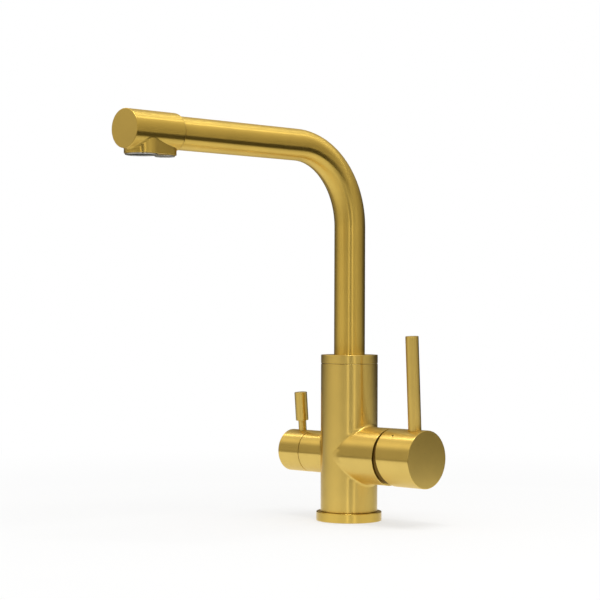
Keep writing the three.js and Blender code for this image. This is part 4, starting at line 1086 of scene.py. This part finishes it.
body_casting()
base_parts()
spout_collar()
spout_pipe()
nozzle()
outlets()
handle_cap()
lever_bar()
index_mark()
cover_ring()
filter_knob()
knob_lever()
screws()


def dress_nodes():
    """The frame's own small parts that stay get the finish of their slot."""
    for part in frame["record"]["subparts"]:
        for holder in frame["nodes"][part["node"]].material_slots:
            holder.material = LOOKS[part["material_slot"]]


dress_nodes()


# -------------------- studio, in metres

CAMERA_TURN = math.radians(VIEW_AZIMUTH - 90)   # of the camera round the upright axis


def unseen(name, rows):
    """A band of (point, glow) rows round the object that shows only in reflections."""
    columns = len(rows[0])
    faces = []
    for a in range(0, (len(rows) - 1) * columns, columns):
        b = a + columns
        for k in range(columns):
            j = (k + 1) % columns
            faces.append((a + k, a + j, b + j, b + k))
    mesh = bpy.data.meshes.new(name)
    mesh.from_pydata([point for row in rows for point, _ in row], [], faces)
    light = mesh.attributes.new("glow", "FLOAT", "POINT")
    light.data.foreach_set("value", [glow for row in rows for _, glow in row])
    band = add_object(name, mesh)
    band.visible_camera = band.visible_diffuse = False
    band.visible_shadow = band.visible_volume_scatter = False
    material = bpy.data.materials.new(name)
    material.use_nodes = True
    tree = material.node_tree
    tree.nodes.remove(tree.nodes["Principled BSDF"])
    strength = make_node(tree, "Attribute", attribute_name="glow").outputs["Fac"]
    emission = make_node(tree, "Emission", {"Color": (1, 0.93, 0.76, 1), "Strength": strength})
    feed(tree, tree.nodes["Material Output"], {"Surface": emission.outputs[0]})
    mesh.materials.append(material)


def lobe(value, centre, width):
    return math.exp(-((value - centre) / width) ** 2)


# Brightness of the studio round the object, low down and high up, by degrees from the camera.
LOW_TURNS = (-180, -150, -116, -89, -57, -40, -28, -15, 30, 57, 75, 100, 117, 150, 180)
LOW_LIGHT = (0.15, 0.08, 0.20, 0.49, 0.65, 0.62, 0.46, 0.38, 0.40, 0.66, 0.50, 0.30, 0.07,
             0.04, 0.15)
HIGH_TURNS = (-180, -130, -60, 60, 100, 125, 150, 180)
HIGH_LIGHT = (0.42, 0.50, 0.62, 0.65, 0.95, 0.85, 0.42, 0.42)
HIGH_START, HIGH_BLEND = 10, 35         # degrees above the table
WALL_LEVEL, DARKEST = 0.95, 0.02


def wall_light(turn, rise):
    """Walls with a soft box at the left, a leaning card behind it and two strips of light."""
    low = float(np.interp(turn, LOW_TURNS, LOW_LIGHT))
    high = float(np.interp(turn, HIGH_TURNS, HIGH_LIGHT))
    share = min(max((rise - HIGH_START) / HIGH_BLEND, 0), 1)
    left_box = 1.15 * lobe(turn, -85, 38) * lobe(rise, 41, 11)
    leaning_card = 2.8 * lobe(turn - 1.4 * (rise - 47), -131, 6) * lobe(rise, 47, 18)
    strips = 1.6 * lobe(turn, -5, 2.2) + 1.5 * lobe(turn, 21, 2.2)
    dark_between = 1.3 * lobe(turn, 6, 5)
    light = low * (1 - share) + high * share + left_box + leaning_card
    return max(WALL_LEVEL * light + (strips - dark_between) * lobe(rise, 5, 35), DARKEST)


def walls():
    """The studio's walls, as a dome that stays open at its top."""
    radius, base = 1.3, 0.12
    rows = []
    for rise in range(-6, 61, 2):
        flat = radius * math.cos(math.radians(rise))
        height = base + radius * math.sin(math.radians(rise))
        row = []
        for turn in spread(-180, 180, 240)[:-1]:
            angle = CAMERA_TURN + math.radians(turn)
            point = (flat * math.cos(angle), flat * math.sin(angle), height)
            row.append((point, wall_light(turn, rise)))
        rows.append(row)
    unseen("studio_walls", rows)


def dark_table():
    """The table stays bright only near the object; beyond that the reflections darken."""
    table_end, height, blend, near_light = 1.25, 0.001, 0.05, 0.95
    # Where the bright part ends, and the light beyond it.
    ahead, right, left = (0.28, 0.25), (0.34, 0.03), (0.39, 0.35)
    rows = []
    for reach in (0.0, blend, 0.3, 0.6, 1.0):
        row = []
        for turn in turns(96):
            side = math.sin(turn)
            aside = right if side > 0 else left
            edge, far_light = (a + (b - a) * abs(side) for a, b in zip(ahead, aside))
            out = edge + reach * (table_end - edge)
            angle = CAMERA_TURN + turn
            share = min(reach / blend, 1)
            point = (out * math.cos(angle), out * math.sin(angle), height)
            row.append((point, near_light * (1 - share) + far_light * share))
        rows.append(row)
    unseen("table_beyond", rows)


def seen_directly(tree):
    """1 for what the camera sees, also in reflections and through glass."""
    path = make_node(tree, "LightPath")
    seen = path.outputs["Is Camera Ray"]
    for kind in ("Is Glossy Ray", "Is Transmission Ray"):
        seen = combine(tree, "MAXIMUM", seen, path.outputs[kind])
    return seen


def soft_world():
    """Even soft light; the camera and the reflections see plain white."""
    white, soft_strength = (1, 1, 1, 1), 0.75
    world = bpy.data.worlds.new("studio")
    bpy.context.scene.world = world
    world.use_nodes = True
    tree = world.node_tree
    soft = tree.nodes["Background"]
    feed(tree, soft, {"Color": white, "Strength": soft_strength})
    plain = make_node(tree, "Background", {"Color": white, "Strength": 1.0})
    mix = mix_shaders(tree, seen_directly(tree), soft.outputs[0], plain.outputs[0])
    feed(tree, tree.nodes["World Output"], {"Surface": mix})


def pale_floor():
    """A matt pale floor that keeps the shadow and turns to the background's white far off."""
    reach, below = 8, -0.0005
    fade_start, fade_end, near_share, mirrored_share = 0.1, 0.8, 0.6, 0.88
    mesh = bpy.data.meshes.new("floor")
    corners = [(-reach, -reach), (reach, -reach), (reach, reach), (-reach, reach)]
    mesh.from_pydata([(x, y, below) for x, y in corners], [], [(0, 1, 2, 3)])
    floor = add_object("floor", mesh)
    look = finish("pale_floor", (0.86, 0.86, 0.855), 0, 0.9, {"Specular IOR Level": 0.1})
    tree = look.node_tree
    where = make_node(tree, "TexCoord")
    length = make_node(tree, "VectorMath", {0: where.outputs["Object"]}, operation="LENGTH")
    far = make_node(tree, "MapRange", {
        "Value": length.outputs["Value"], "From Min": fade_start, "From Max": fade_end,
        "To Min": near_share,
    }, interpolation_type="SMOOTHSTEP")
    shown = combine(tree, "MULTIPLY", far.outputs["Result"], seen_directly(tree))
    path = make_node(tree, "LightPath")
    mirrored = combine(tree, "MULTIPLY", path.outputs["Is Glossy Ray"], mirrored_share)
    paler = combine(tree, "MAXIMUM", shown, mirrored)
    white = make_node(tree, "Emission")
    shader = tree.nodes["Principled BSDF"]
    mix = mix_shaders(tree, paler, shader.outputs[0], white.outputs[0])
    feed(tree, tree.nodes["Material Output"], {"Surface": mix})
    mesh.materials.append(look)


def soft_box(name, place, width, depth, radiance):
    """A lamp over the body whose face shines as brightly as radiance says."""
    aim = Vector((0, 0, 0.1))
    lamp = bpy.data.lights.new(name, "AREA")
    lamp.shape = "RECTANGLE"
    lamp.size, lamp.size_y = width, depth
    lamp.energy = radiance * math.pi * width * depth
    made = add_object(name, lamp)
    made.location = place
    made.rotation_euler = (aim - Vector(place)).to_track_quat("-Z", "Y").to_euler()


soft_world()
pale_floor()
walls()
dark_table()
soft_box("overhead", (0.8, -0.2, 1.5), width=1.5, depth=0.45, radiance=4.0)
soft_box("narrow", (0.18, -0.30, 1.62), width=0.7, depth=0.10, radiance=22.0)
